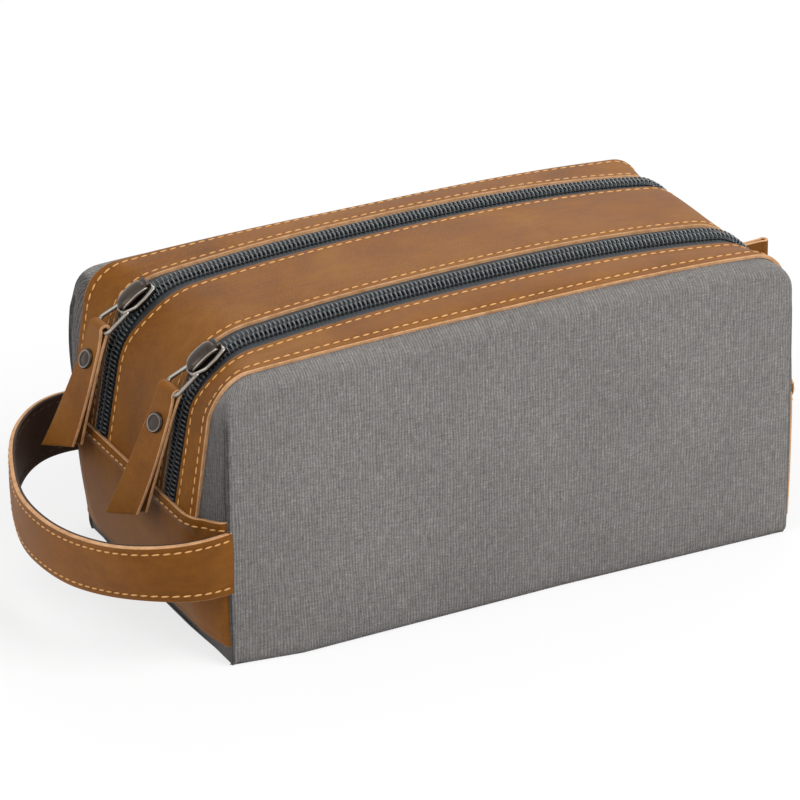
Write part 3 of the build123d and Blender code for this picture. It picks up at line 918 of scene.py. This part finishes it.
class Recipe:
    """A node tree that makes geometry from the lines of a mesh."""

    def __init__(self, name, **inputs):
        self.tree = bpy.data.node_groups.new(name, "GeometryNodeTree")
        new_socket = self.tree.interface.new_socket
        new_socket("Lines", in_out="INPUT", socket_type="NodeSocketGeometry")
        self.names = {}
        for key, value in inputs.items():
            kind = "NodeSocketMaterial" if value is None else "NodeSocketFloat"
            made = new_socket(key, in_out="INPUT", socket_type=kind)
            if value is not None:
                made.default_value = value
            self.names[key] = made.identifier
        new_socket("Geometry", in_out="OUTPUT", socket_type="NodeSocketGeometry")
        self.given = self.tree.nodes.new("NodeGroupInput")
        self.result = self.tree.nodes.new("NodeGroupOutput")

    def node(self, kind, settings=None, **inputs):
        """Add a node with its settings and its inputs, of which underscores stand for spaces."""
        made = self.tree.nodes.new(kind)
        for key, value in (settings or {}).items():
            setattr(made, key, value)
        for key, value in inputs.items():
            socket = made.inputs[key.replace("_", " ")]
            if isinstance(value, bpy.types.NodeSocket):
                self.tree.links.new(value, socket)
            else:
                socket.default_value = value
        return made.outputs[0]

    def strewn(self, shape):
        """Put a shape at every pitch along the lines, turned along them and outward, as real
        faces."""
        given = self.given.outputs
        curve = self.node("GeometryNodeMeshToCurve", Mesh=given["Lines"])
        spots = self.node("GeometryNodeResampleCurve", {"mode": "LENGTH"}, Curve=curve,
                          Length=given["Pitch"])
        outward = self.node("GeometryNodeInputNamedAttribute", {"data_type": "FLOAT_VECTOR"},
                            Name="outward")
        tangent = self.node("GeometryNodeInputTangent")
        turn = self.node("FunctionNodeAlignRotationToVector", {"axis": "X"}, Vector=tangent)
        turn = self.node("FunctionNodeAlignRotationToVector", {"axis": "Z", "pivot_axis": "X"},
                         Rotation=turn, Vector=outward)
        copies = self.node("GeometryNodeInstanceOnPoints", Points=spots, Instance=shape,
                           Rotation=turn)
        solid = self.node("GeometryNodeRealizeInstances", Geometry=copies)
        smooth = self.node("GeometryNodeSetShadeSmooth", Geometry=solid)
        painted = self.node("GeometryNodeSetMaterial", Geometry=smooth,
                            Material=given["Material"])
        self.tree.links.new(painted, self.result.inputs[0])

    def cook(self, piece, **values):
        """Run the tree on a mesh of lines and leave plain faces."""
        modifier = piece.modifiers.new("recipe", "NODES")
        modifier.node_group = self.tree
        for key, value in values.items():
            modifier[self.names[key]] = value
        made_plain(piece)
        return piece


def coil_recipe():
    """One turn of flattened wire for every pitch along a line."""
    recipe = Recipe("coil_turns", Pitch=0.0020, Width=0.0050, Height=0.0021, Wire=0.00044,
                    Material=None)
    given = recipe.given.outputs
    turn = recipe.node("GeometryNodeCurveSpiral", Resolution=12, Rotations=1.0, Start_Radius=0.5,
                       End_Radius=0.5, Height=1.0)
    size = recipe.node("ShaderNodeCombineXYZ", X=given["Height"], Y=given["Width"],
                       Z=given["Pitch"])
    flat = recipe.node("GeometryNodeTransform", Geometry=turn, Scale=size)
    lying = recipe.node("GeometryNodeTransform", Geometry=flat, Rotation=(0.0, math.pi / 2, 0.0))
    wire = recipe.node("GeometryNodeCurvePrimitiveCircle", {"mode": "RADIUS"}, Resolution=5,
                       Radius=given["Wire"])
    loop = recipe.node("GeometryNodeCurveToMesh", Curve=lying, Profile_Curve=wire)
    recipe.strewn(loop)
    return recipe


coil_turns = coil_recipe()
tape_foot, tape_thickness = 54.0, 0.8
coil_foot, coil_level, coil_middle = 60.2, 1.25, 2.25

for name, side in (("front", -1), ("rear", 1)):
    for edge, away in (("outer", side), ("inner", -side)):
        near, far = sorted(side * zip_centre + away * np.array([0.3, tape_reach]))
        y = np.linspace(near, far, 12)[None, :] * np.ones((240, 1))
        runs = over_bag(y, tape_foot, np.linspace(0, 1, 240)[:, None])
        tape = closed_sheet(f"{name}_{edge}_tape", on_bag(y, runs),
                            on_bag(y, runs, -tape_thickness), [tape_material], rim=0)
        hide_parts(f"{name}_zip_{edge}_tape")
        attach(tape, "bag")

        # The inner coil starts a little further on, so that its loops lie between the outer ones
        first = 3 if edge == "inner" else 0
        y = np.full(400, side * zip_centre + away * coil_middle)
        runs = over_bag(y, coil_foot, np.linspace(0, 1, 400))
        line = on_bag(y, runs, coil_level)[first:], faces_at(y, runs)[first:]
        coil = coil_turns.cook(path_mesh(f"{name}_{edge}_coil", [line]), Material=coil_material)
        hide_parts(f"{name}_zip_{edge}_coil")
        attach(coil, "bag")


# Stitches. A waxed golden thread holds the strips and the centre panel to the tapes, and the end
# panels to the ends, in rows just inside the cut edges. The handle has its own rows.
def thread_finish(name, dark, light):
    """Polyester thread with a twist."""
    finish = Finish(name)
    fibre = finish.fibres(finish.place(), (900.0, 900.0, 900.0))
    colour = finish.mixed(fibre, dark, light)
    return finish.shade(colour, 0.55, finish.emboss(fibre, 0.00006))


thread = thread_finish("thread", linear(190, 132, 66), linear(232, 180, 112))


def stitch_recipe():
    """A short thread for every pitch along a line."""
    recipe = Recipe("stitches", Pitch=0.0044, Length=0.0033, Width=0.00088, Height=0.0007,
                    Material=None)
    given = recipe.given.outputs
    ball = recipe.node("GeometryNodeMeshUVSphere", Segments=8, Rings=7, Radius=0.5)
    size = recipe.node("ShaderNodeCombineXYZ", X=given["Length"], Y=given["Width"],
                       Z=given["Height"])
    lying = recipe.node("GeometryNodeTransform", Geometry=ball, Rotation=(0.0, math.pi / 2, 0.0))
    grain = recipe.node("GeometryNodeTransform", Geometry=lying, Scale=size)
    skewed = recipe.node("GeometryNodeTransform", Geometry=grain,
                         Rotation=(0.0, 0.0, math.radians(5)))
    recipe.strewn(skewed)
    return recipe


stitches = stitch_recipe()
stitch_lines = []
stitch_level = leather_thickness - 0.05
panel_row = 3.4
along = np.linspace(0, 1, 900)
for side in (-1, 1):
    for distance in (centre_edge(along) - stitch_inset, inner_edge(along) + stitch_inset,
                     outer_edge(along, side) - stitch_inset):
        y = side * distance
        runs = over_bag(y, tucked, along)
        shown = lies_at(y, runs)[:, 2] > end_top(y) + 1.5
        y, runs = y[shown], runs[shown]
        stitch_lines.append((on_bag(y, runs, stitch_level), faces_at(y, runs)))
for side in (-1, 1):
    y = np.linspace(-end_half + 2.2, end_half - 2.2, 160)
    runs = side * (run_down_to(y, end_top(y), side) + panel_row)
    lift = over_strips(y, lies_at(y, runs)[:, 2], side)
    stitch_lines.append((on_bag(y, runs, stitch_level + lift), faces_at(y, runs)))
body_stitches = stitches.cook(path_mesh("body_stitches", stitch_lines), Material=thread)
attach(body_stitches, "bag")


# Inside of the bag: canvas base turned up at the ends, stiffener board, foam behind the side walls,
# divider, and a lining in each compartment with a slit below its zip.
def lining_finish():
    """Plain grey polyester lining."""
    finish = Finish("lining")
    weave = finish.noise(finish.place(), 1400.0, 2.0, 0.6)
    colour = finish.mixed(weave, linear(60, 60, 62), linear(88, 88, 90))
    return finish.shade(colour, 0.7, finish.emboss(weave, 0.0001), Sheen_Weight=0.15)


def foam_finish(name, dark, light):
    """Open foam or pulp board, in two close tones."""
    finish = Finish(name)
    pores = finish.noise(finish.place(), 800.0, 3.0, 0.7)
    return finish.shade(finish.mixed(pores, dark, light), 0.95, finish.emboss(pores, 0.0004))


lining_material = lining_finish()
foam_material = foam_finish("foam", linear(188, 188, 184), linear(222, 222, 218))
board_material = foam_finish("board", linear(120, 110, 96), linear(156, 146, 130))


def round_section(y, inset, floor_height):
    """The closed section of the bag at a distance from its middle, drawn in, above a floor."""
    halves = []
    for end in (1, -1):
        points, _ = outline(y, end)
        half = points[np.linspace(0, steps_down, 161).astype(int)]
        direction = np.gradient(half, axis=0)
        normal = unit(np.stack([-direction[:, 1], direction[:, 0]], axis=1))
        normal *= np.sign((normal * (half - (0, 50))).sum(1, keepdims=True))
        half = half - normal * inset
        half[:, 1] = np.maximum(half[:, 1], floor_height)
        half[0, 0] = 0.0
        halves.append(half * (end, 1))
    return np.concatenate([halves[0], halves[1][:0:-1]])


def lofted(name, rings, materials, face_materials=None, kept=None):
    """A closed solid through rings of points, with a point in the middle of each end. Only some
    faces between the rings may be kept."""
    rings = np.asarray(rings, float)
    layers, count = rings.shape[:2]
    index = np.arange(layers * count).reshape(layers, count)
    after = np.roll(index, -1, axis=1)
    quads = np.stack([index[:-1], after[:-1], after[1:], index[1:]], axis=-1)
    faces = quads[np.full(quads.shape[:2], True) if kept is None else kept].tolist()
    points = [rings.reshape(-1, 3)]
    for tip, end in enumerate((0, -1), layers * count):
        points.append(rings[end].mean(axis=0)[None])
        faces += [[index[end, i], after[end, i], tip] for i in range(count)]
    kinds = None
    if face_materials is not None:
        kinds = np.concatenate([np.repeat(face_materials, count), np.zeros(2 * count)])
    piece = add_piece(name, np.concatenate(points), faces, materials, kinds)
    merged(piece, 0.001)
    return piece


def filled_slab(name, section, y_low, y_high, material):
    """A flat slab of a section's shape, with rings of faces that close in its middle."""
    middle = np.array([0.0, (section[:, 1].max() + section[:, 1].min()) / 2])
    shares = [0.3, 0.6, 0.85, 0.97, 1.0]
    places = [(y_low, share) for share in shares] + [(y_high, share) for share in shares[::-1]]
    rings = [np.insert(middle + (section - middle) * share, 1, y, axis=1) for y, share in places]
    return lofted(name, rings, [material])


def joined(name, pieces, all_smooth=False):
    """One piece from several, with their materials."""
    points, faces, kinds, flags, materials, first = [], [], [], [], [], 0
    for piece in pieces:
        own = list(piece.data.materials)
        for material in own:
            if material not in materials:
                materials.append(material)
        points.append(point_array(piece))
        for face_of in piece.data.polygons:
            faces.append([first + i for i in face_of.vertices])
            kinds.append(materials.index(own[face_of.material_index]))
            flags.append(all_smooth or face_of.use_smooth)
        first += len(points[-1])
        mesh = piece.data
        bpy.data.objects.remove(piece)
        bpy.data.meshes.remove(mesh)
    return add_piece(name, np.concatenate(points), faces, materials, kinds, flags)


inside_floor = 3.3
lining_inset, foam_inset, divider_inset, divider_half = 1.25, 2.0, 1.2, 0.7
foam_near, foam_middle, foam_far = 69.2, 69.9, 70.7
lining_depths = np.array([0.95, 6, 14, 20, 25.2, 34.2, 43.3, 50, 55, 59, 62.5, 65.5, 67.6, 68.6])
for name, side in (("front", -1), ("rear", 1)):
    rings = slumped([
        np.insert(round_section(side * y, lining_inset, inside_floor), 1, side * y, axis=1)
        for y in lining_depths
    ])
    depth, height = lining_depths[:-1, None], rings[:-1, :, 2]
    under_zip = (depth > 25) & (depth < 43) & (height > 66)
    bag_lining = lofted(f"{name}_lining_bag", rings, [lining_material], kept=~under_zip)
    thickened(bag_lining, 0.0005)
    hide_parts(f"{name}_lining")
    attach(bag_lining, "bag")

    foam_section = round_section(side * foam_middle, foam_inset, inside_floor)
    pad = filled_slab(f"{name}_foam", foam_section, side * foam_near, side * foam_far,
                      foam_material)
    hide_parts(f"{name}_foam_pad")
    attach(pad, "bag")

wall = filled_slab("divider", round_section(0.0, divider_inset, inside_floor), -divider_half,
                   divider_half, lining_material)
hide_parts("compartment_divider")
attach(wall, "bag")

base_half, base_inset, base_height = 70.6, 1.2, 1.0
turn_up_half, turn_up_height = 50.5, 50.0
tray_y = np.linspace(-base_half, base_half, 60)[:, None] * np.ones((1, 80))
tray_part = np.linspace(-1, 1, 80)[None, :] * np.ones((60, 1))
foot_x = lies_at(tray_y, run_at_height(tray_y, 0.4))[..., 0] - base_inset
tray_z = np.full_like(tray_y, base_height)
tray_top = slumped(np.stack([tray_part * foot_x, tray_y, tray_z], axis=-1))
tray_low = tray_top * (1, 1, 0)
base_floor = closed_sheet("base_canvas", tray_low, tray_top, [canvas], rim=0)
turned = []
for side in (-1, 1):
    y = np.linspace(-turn_up_half, turn_up_half, 50)[None, :] * np.ones((30, 1))
    low, high = run_at_height(y, 0.05, side), run_at_height(y, turn_up_height, side)
    runs = side * (low + (high - low) * np.linspace(0, 1, 30)[:, None])
    turned.append(closed_sheet("turned", on_bag(y, runs, -0.02), on_bag(y, runs, -canvas_thickness),
                               [canvas], rim=0))
tray = joined("canvas_base", [base_floor] + turned, all_smooth=True)
points = point_array(tray)
flat = np.abs(points[:, 2]) < 1.01
add_uv(tray, "cloth", np.where((np.abs(points[:, 0]) < 128.5)[:, None] & flat[:, None],
                               points[:, :2], points[:, 1:]) * 0.001)
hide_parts("base_canvas_panel")
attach(tray, "bag")

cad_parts["base_board"].material_slots[0].material = board_material


# Handle. A strap of face leather on a dark backing leather, sewn along both edges with golden
# thread outside and dark thread inside. It leaves the front crease of the left end, stands out in
# a wide bow and goes into the rear crease.
def smooth_line(knots, count):
    """Even points on the smooth curve through some knots."""
    knots = np.asarray(knots, float)
    last = len(knots) - 1
    place = run_along(knots)
    chord = np.diff(place)
    system, right = np.zeros((last + 1, last + 1)), np.zeros_like(knots)
    system[0, 0] = system[last, last] = 1.0
    for i in range(1, last):
        system[i, i - 1:i + 2] = chord[i - 1], 2 * (chord[i - 1] + chord[i]), chord[i]
        ahead, back = knots[i + 1] - knots[i], knots[i] - knots[i - 1]
        right[i] = 6 * (ahead / chord[i] - back / chord[i - 1])
    bend = np.linalg.solve(system, right)
    fine = np.linspace(0, place[-1], 60 * last)
    i = np.clip(np.searchsorted(place, fine, side="right") - 1, 0, last - 1)
    part = ((fine - place[i]) / chord[i])[:, None]
    rest, size = 1 - part, (chord[i] ** 2 / 6)[:, None]
    line = (
        rest * knots[i] + part * knots[i + 1]
        + ((rest**3 - rest) * bend[i] + (part**3 - part) * bend[i + 1]) * size
    )
    run = run_along(line)
    even = np.linspace(0, run[-1], count)
    return np.stack([np.interp(even, run, line[:, k]) for k in range(line.shape[1])], axis=1)


handle_edges = np.array([
    [-129.4, -72.3, 60.4, -129.4, -72.2, 32.9],
    [-138.5, -74.5, 60.8, -138.5, -74.0, 33.6],
    [-152.1, -74.9, 61.1, -150.0, -72.4, 34.1],
    [-171.4, -64.3, 59.7, -166.1, -60.2, 33.1],
    [-181.1, -44.0, 56.2, -174.7, -41.6, 29.3],
    [-185.9, -22.0, 53.6, -180.4, -21.5, 26.3],
    [-186.9, 0.0, 52.2, -182.8, -0.4, 24.8],
    [-184.1, 21.4, 51.0, -181.7, 20.9, 23.6],
    [-178.1, 42.1, 52.4, -177.4, 41.5, 25.0],
    [-168.4, 61.9, 58.2, -169.3, 60.9, 30.8],
    [-150.8, 73.5, 63.6, -152.1, 73.3, 36.0],
    [-138.5, 74.2, 65.0, -139.0, 74.2, 37.4],
    [-129.4, 72.2, 65.6, -129.4, 72.2, 38.0],
])
face_leather, backing_leather = 1.6, 1.2
strap_lines = smooth_line(handle_edges, 260)
strap_top, strap_low = strap_lines[:, :3], strap_lines[:, 3:]
strap_width = np.linalg.norm(strap_low - strap_top, axis=1)
strap_across = spread_across(strap_width, 12, near_edge_steps)
strap_part = (strap_across / strap_width[:, None])[..., None]
strap_places = strap_top[:, None] * (1 - strap_part) + strap_low[:, None] * strap_part
strap_down = (strap_low - strap_top)[:, None] * np.ones_like(strap_places)
strap_out = unit(np.cross(np.gradient(strap_places, axis=0), strap_down))
strap_out *= np.sign((strap_out * (strap_places - (-125, 0, 47))).sum(-1, keepdims=True))
strap_inset = np.minimum(strap_across, strap_width[:, None] - strap_across)
crowned = 0.5 * (1 - (2 * strap_part[..., 0] - 1) ** 2)
dents = dented(strap_inset, 0.2)


def strap_layer(name, high, low, materials, rim):
    """One leather of the handle, between two distances from the strap's face."""
    return closed_sheet(
        name,
        strap_places + strap_out * (crowned + high)[..., None],
        strap_places + strap_out * (crowned + low)[..., None],
        materials,
        rim=rim,
        inset=strap_inset,
    )


backing_tones = linear(44, 32, 26), linear(62, 46, 38), linear(82, 62, 50)
backing = leather_finish("backing_leather", *backing_tones)
between = np.full_like(strap_inset, -face_leather)
face = strap_layer("handle_leather", -rolled(strap_inset) - dents, between, [trim, cut_edge], 1)
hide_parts("handle_face")
lining_side = strap_layer("handle_lining", between,
                          between - backing_leather + rolled(strap_inset) + dents, [backing], 0)
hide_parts("handle_backing")
dark_thread = thread_finish("dark_thread", linear(40, 29, 23), linear(66, 49, 39))
face_rows, backing_rows = [], []
clear_of_creases = slice(4, -4)
out = strap_out[clear_of_creases, 7]
for part in (stitch_inset / strap_width, 1 - stitch_inset / strap_width):
    part = part[clear_of_creases, None]
    row = strap_top[clear_of_creases] * (1 - part) + strap_low[clear_of_creases] * part
    lift = 0.5 * (1 - (2 * part - 1) ** 2)
    on_back = lift - face_leather - backing_leather
    face_rows.append((row + out * (lift - 0.08), out))
    backing_rows.append((row + out * (on_back + 0.08), -out))
handle_stitches = stitches.cook(path_mesh("handle_stitches", face_rows), Material=thread)
lining_stitches = stitches.cook(path_mesh("handle_lining_stitches", backing_rows),
                                Material=dark_thread)
for piece in (face, lining_side, handle_stitches, lining_stitches):
    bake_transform(piece)


# Zip sliders, rings and pulls. Gunmetal sliders with a domed crown sit on the shoulder of each zip,
# a trapezoidal ring hangs in each, and a flared leather tongue is folded round it and riveted.
def metal_finish(name, dark, light, rough):
    """Plated metal: smooth, with faint blotches and fine handling scratches."""
    finish = Finish(name)
    blotch = finish.noise(finish.place(), 220.0, 3.0, 0.6)
    scratch = finish.fibres(finish.place(), (3000.0, 260.0, 900.0), 2.0, 0.7)
    colour = finish.mixed((blotch * 0.8 + scratch * 0.4 - 0.1).clamped(), dark, light)
    roughness = (blotch * 0.14 + scratch * 0.12 + rough).clamped()
    return finish.shade(colour, roughness, finish.emboss(scratch, 0.00002), metallic=1.0)


gunmetal = metal_finish("gunmetal", linear(50, 44, 41), linear(86, 77, 71), 0.22)
# A lighter copy of the gunmetal, put on the slider rims, the rings and one band of the rivet caps
# as painted highlight.
painted_highlight_metal = metal_finish("metal_painted_highlight", linear(122, 117, 110), linear(166, 160, 151), 0.2)
slider_down = np.array([-0.7934, 0.0, -0.6088])
slider_out = np.array([-0.6088, 0.0, 0.7934])
slider_side = np.array([0.0, 1.0, 0.0])
slider_level = 2.2


def tube(name, line, radius, material, closed=True, sides=14):
    """A round wire along a line of points."""
    line = np.asarray(line, float)
    ahead = np.roll(line, -1, axis=0) if closed else np.concatenate([line[1:], line[-1:]])
    back = np.roll(line, 1, axis=0) if closed else np.concatenate([line[:1], line[:-1]])
    along = unit(ahead - back)
    middle = line.mean(axis=0)
    flat = unit(np.cross(line[len(line) // 3] - middle, line[0] - middle))
    first = unit(np.cross(along, flat))
    second = np.cross(along, first)
    angles = np.linspace(0, 2 * math.pi, sides, endpoint=False)
    turned = np.cos(angles)[:, None] * first[:, None] + np.sin(angles)[:, None] * second[:, None]
    rings = line[:, None] + radius * turned
    if not closed:
        return lofted(name, rings, [material])
    count = len(line)
    index = np.arange(count * sides).reshape(count, sides)
    quads = np.stack([index, np.roll(index, -1, 1), np.roll(np.roll(index, -1, 0), -1, 1),
                      np.roll(index, -1, 0)], axis=-1)
    piece = add_piece(name, rings.reshape(-1, 3), quads.reshape(-1, 4), [material])
    merged(piece, 0.001)
    return piece


def rounded_loop(corners, radii, steps=7):
    """Points round a polygon with rounded corners."""
    corners = np.asarray(corners, float)
    count, points = len(corners), []
    for i in range(count):
        before = unit(corners[i - 1] - corners[i])
        after = unit(corners[(i + 1) % count] - corners[i])
        half = math.acos(float(np.clip(before @ after, -1, 1))) / 2
        reach = radii[i] / math.tan(half)
        centre = corners[i] + unit(before + after) * radii[i] / math.sin(half)
        start, end = corners[i] + before * reach - centre, corners[i] + after * reach - centre
        for t in np.linspace(0, 1, steps):
            points.append(centre + radii[i] * unit(start * (1 - t) + end * t))
    return np.array(points)


def zip_slider(name, foot):
    """Slider with a flared mouth, a narrow nose and a domed crown over the ring's bar."""
    def placed(down, across, out):
        down, across, out = (np.asarray(part, float)[..., None] for part in (down, across, out))
        return foot + slider_down * down + slider_side * across + slider_out * (out + slider_level)

    plan = rounded_loop(
        [(-7.6, -6.0), (-1.0, -7.1), (4.0, -6.9), (9.9, -3.0), (9.9, 3.0), (4.0, 6.9), (-1.0, 7.1),
         (-7.6, 6.0)],
        [1.6, 3.0, 3.5, 1.8, 1.8, 3.5, 3.0, 1.6],
    )
    levels = ((0.3, 0.9), (0.6, 0.3), (1.0, 0), (2.1, 0), (2.6, 0.25), (2.85, 0.8), (2.9, 1.5))
    centre, rings = np.array([1.2, 0.0]), []
    for level, drawn in levels:
        ring = centre + (plan - centre) * (1 - drawn / 7.0)
        rings.append(placed(ring[:, 0], ring[:, 1], level))
    # The plate's upper edge bands are in the lighter metal, as painted highlight.
    plate = lofted("plate", rings, [gunmetal, painted_highlight_metal], [0, 0, 0, 1, 1, 0])
    mouth = lofted("mouth", [
        placed([-7.3, -7.3, -4.2, -4.2], np.array([-1, 1, 1, -1]) * half, level)
        for level, half in ((2.4, 3.2), (4.2, 3.0), (4.9, 2.5), (5.0, 2.2))
    ], [gunmetal])
    path = np.array([(-6.4, 2.2), (-6.3, 3.8), (-5.1, 5.2), (-2.5, 6.1), (1.0, 6.5), (4.5, 6.4),
                     (7.2, 5.8), (8.7, 4.6), (9.3, 3.3), (9.4, 2.2)])
    halves = [2.8, 3.5, 4.0, 4.2, 4.2, 4.0, 3.4, 2.6, 2.0, 1.8]
    arch = smooth_line(np.column_stack([path, halves]), 60)
    tangent = unit(np.gradient(arch[:, :2], axis=0))
    normal = np.stack([-tangent[:, 1], tangent[:, 0]], axis=1)
    right = np.array([0.2, 0.4, 0.6, 0.78, 0.88, 0.95, 0.985, 1.0])
    part = np.concatenate([-right[::-1], [0.0], right])

    def below(depth, across, rows=slice(None)):
        low = arch[rows, :2, None] - normal[rows, :, None] * depth
        return placed(low[:, 0], across, low[:, 1])

    # The crown's edge faces and the two rims along it are in the lighter metal, as painted
    # highlight.
    crown_across = arch[:, 2:] * part
    crown = closed_sheet("crown", below(part**4 + 0.55 * part**2, crown_across),
                         below(0.95 + 1.55 * part**2, crown_across), [gunmetal, painted_highlight_metal])
    rims = []
    for edge in (-1, 1):
        line = below(1.5, edge * (arch[3:-1, 2:] + 0.1), slice(3, -1))[:, 0]
        rims.append(tube("rim", line, 0.5, painted_highlight_metal, closed=False, sides=10))
    return joined(f"{name}_slider", [plate, mouth, crown] + rims)


def zip_ring(name, upper, lower, bar):
    """Trapezoidal ring of round wire between the slider and the pull."""
    down = lower - upper
    corners = [upper - bar * 4.3, upper + bar * 4.3, lower + bar * 6.8, lower - bar * 6.8]
    loop = rounded_loop(corners, [2.0, 2.0, 2.3, 2.3], 9)
    flat = []
    for i, point in enumerate(loop):
        following = loop[(i + 1) % len(loop)]
        steps = max(1, int(np.linalg.norm(following - point) / 0.8))
        flat += [point + (following - point) * k / steps for k in range(steps)]
    # The ring is glossy gunmetal; it is drawn in the lighter metal, as painted highlight.
    return tube(f"{name}_ring", flat, 0.95, painted_highlight_metal, sides=16)


thin_edge_steps = np.array([0, 0.06, 0.16, 0.3, 0.45, 0.8])
thin_half, thin_rounding = 0.75, 0.45
fold_radius, rivet_place, rivet_level = 1.95, 15.5, 1.6


def zip_pull(name, fold, foot, side_at_fold, side_at_foot):
    """Flared leather tongue, folded round the ring, with a dished rivet through both layers."""
    length = float(np.linalg.norm(foot - fold))
    down = (foot - fold) / length
    arc = np.linspace(math.radians(62), math.radians(298), 17)
    front = [(length, 3.0), (50, 2.0), (40, 1.35), (30, 0.95), (22, 0.85), (15, 0.85), (9, 0.9),
             (5, 1.15)]
    rear = [(5, -1.15), (9, -0.9), (15, -0.85), (22, -0.85), (30, -0.9), (40, -1.0), (50, -1.2),
            (length - 0.8, -1.5)]
    turn = [(fold_radius * math.cos(a), fold_radius * math.sin(a)) for a in arc]
    middle = smooth_line(front + turn + rear, 230)
    tangent = unit(np.gradient(middle, axis=0))
    normal = np.stack([tangent[:, 1], -tangent[:, 0]], axis=1)
    share = np.clip(middle[:, 0] / length, 0, 1)[:, None]
    side = unit(side_at_fold * (1 - share) + side_at_foot * share)
    out = unit(np.cross(side, down[None]))
    out *= -np.sign(out[:, :1])
    half = 5.3 + 5.2 * share[:, 0] ** 0.92
    across = spread_across(2 * half, 9, thin_edge_steps)
    run = run_along(middle)
    inset = np.minimum(across, 2 * half[:, None] - across)
    inset = np.minimum(inset, np.minimum(run, run[-1] - run)[:, None])
    centre = fold + down * middle[:, :1] + out * middle[:, 1:]
    facing = down * normal[:, :1] + out * normal[:, 1:]
    places = centre[:, None] + side[:, None] * (across - half[:, None])[..., None]
    thick = thin_half - rolled(inset, thin_rounding)
    tongue = closed_sheet(
        f"{name}_pull",
        places + facing[:, None] * thick[..., None],
        places - facing[:, None] * thick[..., None],
        [trim, cut_edge],
        inset=inset,
    )
    at = rivet_place / length
    side_here = unit(side_at_fold * (1 - at) + side_at_foot * at)
    out_here = np.cross(side_here, down)
    out_here *= -np.sign(out_here[0])
    turned = np.linspace(0, 2 * math.pi, 40, endpoint=False)
    round_about = np.cos(turned)[:, None] * side_here + np.sin(turned)[:, None] * down

    def button(label, profile, outward, kinds):
        start = fold + down * rivet_place + outward * rivet_level
        return lofted(label, [start + outward * h + round_about * r for r, h in profile],
                      [gunmetal, painted_highlight_metal], kinds)

    # One band of the cap's raised rim is in the lighter metal, as painted highlight.
    cap = button(f"{name}_rivet_top", [
        (0.4, 1.32), (1.6, 1.25), (2.4, 1.02), (2.9, 0.86), (3.3, 0.95), (3.7, 1.28), (4.1, 1.36),
        (4.45, 1.15), (4.7, 0.75), (4.75, 0.3), (4.6, -0.2), (1.0, -0.2),
    ], out_here, [0, 0, 0, 0, 0, 1, 0, 0, 0, 0, 0])
    base = button(f"{name}_rivet_back", [
        (0.4, 0.7), (2.0, 0.66), (3.1, 0.5), (3.6, 0.2), (3.6, -0.2), (1.0, -0.2),
    ], -out_here, [0, 0, 0, 0, 0])
    return tongue, cap, base


ring_bar = np.array([0.1604, 0.9781, 0.1322])
pull_shapes = {
    "front": [(-136.36, -30.6, 107.9), (-152.07, -19.63, 51.28), (0.1413, -0.9845, -0.1038),
              (0.2626, -0.9172, 0.2996)],
    "rear": [(-137.0, 37.9, 108.7), (-151.80, 46.81, 53.79), (0.0262, -0.9992, 0.0304),
             (0.2877, -0.9177, 0.274)],
}
for name, side in (("front", -1), ("rear", 1)):
    slider = zip_slider(name, np.array([-118.95, side * zip_centre, 117.64]))
    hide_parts(f"{name}_zip_slider")
    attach(slider, f"{name}_slider")
    upper_bar = np.array([-126.4, side * zip_centre, 116.841])
    lower_bar = np.array([-136.363, side * zip_centre + 2.744, 108.628])
    ring = zip_ring(name, upper_bar, lower_bar, ring_bar)
    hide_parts(f"{name}_zip_ring")
    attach(ring, f"{name}_ring")
    tongue, cap, base = zip_pull(name, *(np.array(part) for part in pull_shapes[name]))
    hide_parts(f"{name}_zip_pull")
    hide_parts(f"{name}_rivet_cap")
    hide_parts(f"{name}_rivet_base")
    for piece in (tongue, cap, base):
        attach(piece, f"{name}_pull")


# Tab at the right end. A narrow strip of face leather, folded on itself and sewn in on edge above
# the end panel, so that its fold stands out as a grip for holding the bag while it is zipped.
tab_rows, tab_breadth, tab_foot = 120, 18.0, 84.3
tab_path = smooth_line(
    [(128.0, -0.85), (136.0, -0.85), (146.0, -0.85), (154.0, -0.95), (157.2, -1.3)]
    + [(158.0 + 1.6 * math.cos(a), 1.6 * math.sin(a)) for a in np.linspace(-1.3, 1.3, 7)]
    + [(157.2, 1.3), (154.0, 0.95), (146.0, 0.85), (136.0, 0.85), (128.0, 0.85)],
    tab_rows,
)
tab_along = unit(np.gradient(tab_path, axis=0))
tab_normal = np.stack([tab_along[:, 1], -tab_along[:, 0]], axis=1)
tab_width = np.full(tab_rows, tab_breadth)
tab_across = spread_across(tab_width, 8, thin_edge_steps)
tab_inset = np.minimum(tab_across, tab_width[:, None] - tab_across)
tab_rise = tab_foot + 0.03 * (tab_path[:, :1] - 140.0)
tab_places = np.stack([
    tab_path[:, :1] + 0 * tab_across, tab_path[:, 1:] + 0 * tab_across, tab_rise + tab_across
], axis=-1)
tab_facing = np.insert(tab_normal, 2, 0.0, axis=1)[:, None]
tab_thick = (thin_half - rolled(tab_inset, thin_rounding))[..., None]
tab = closed_sheet("end_loop", tab_places + tab_facing * tab_thick,
                   tab_places - tab_facing * tab_thick, [trim, cut_edge], inset=tab_inset)
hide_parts("end_tab")
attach(tab, "bag")
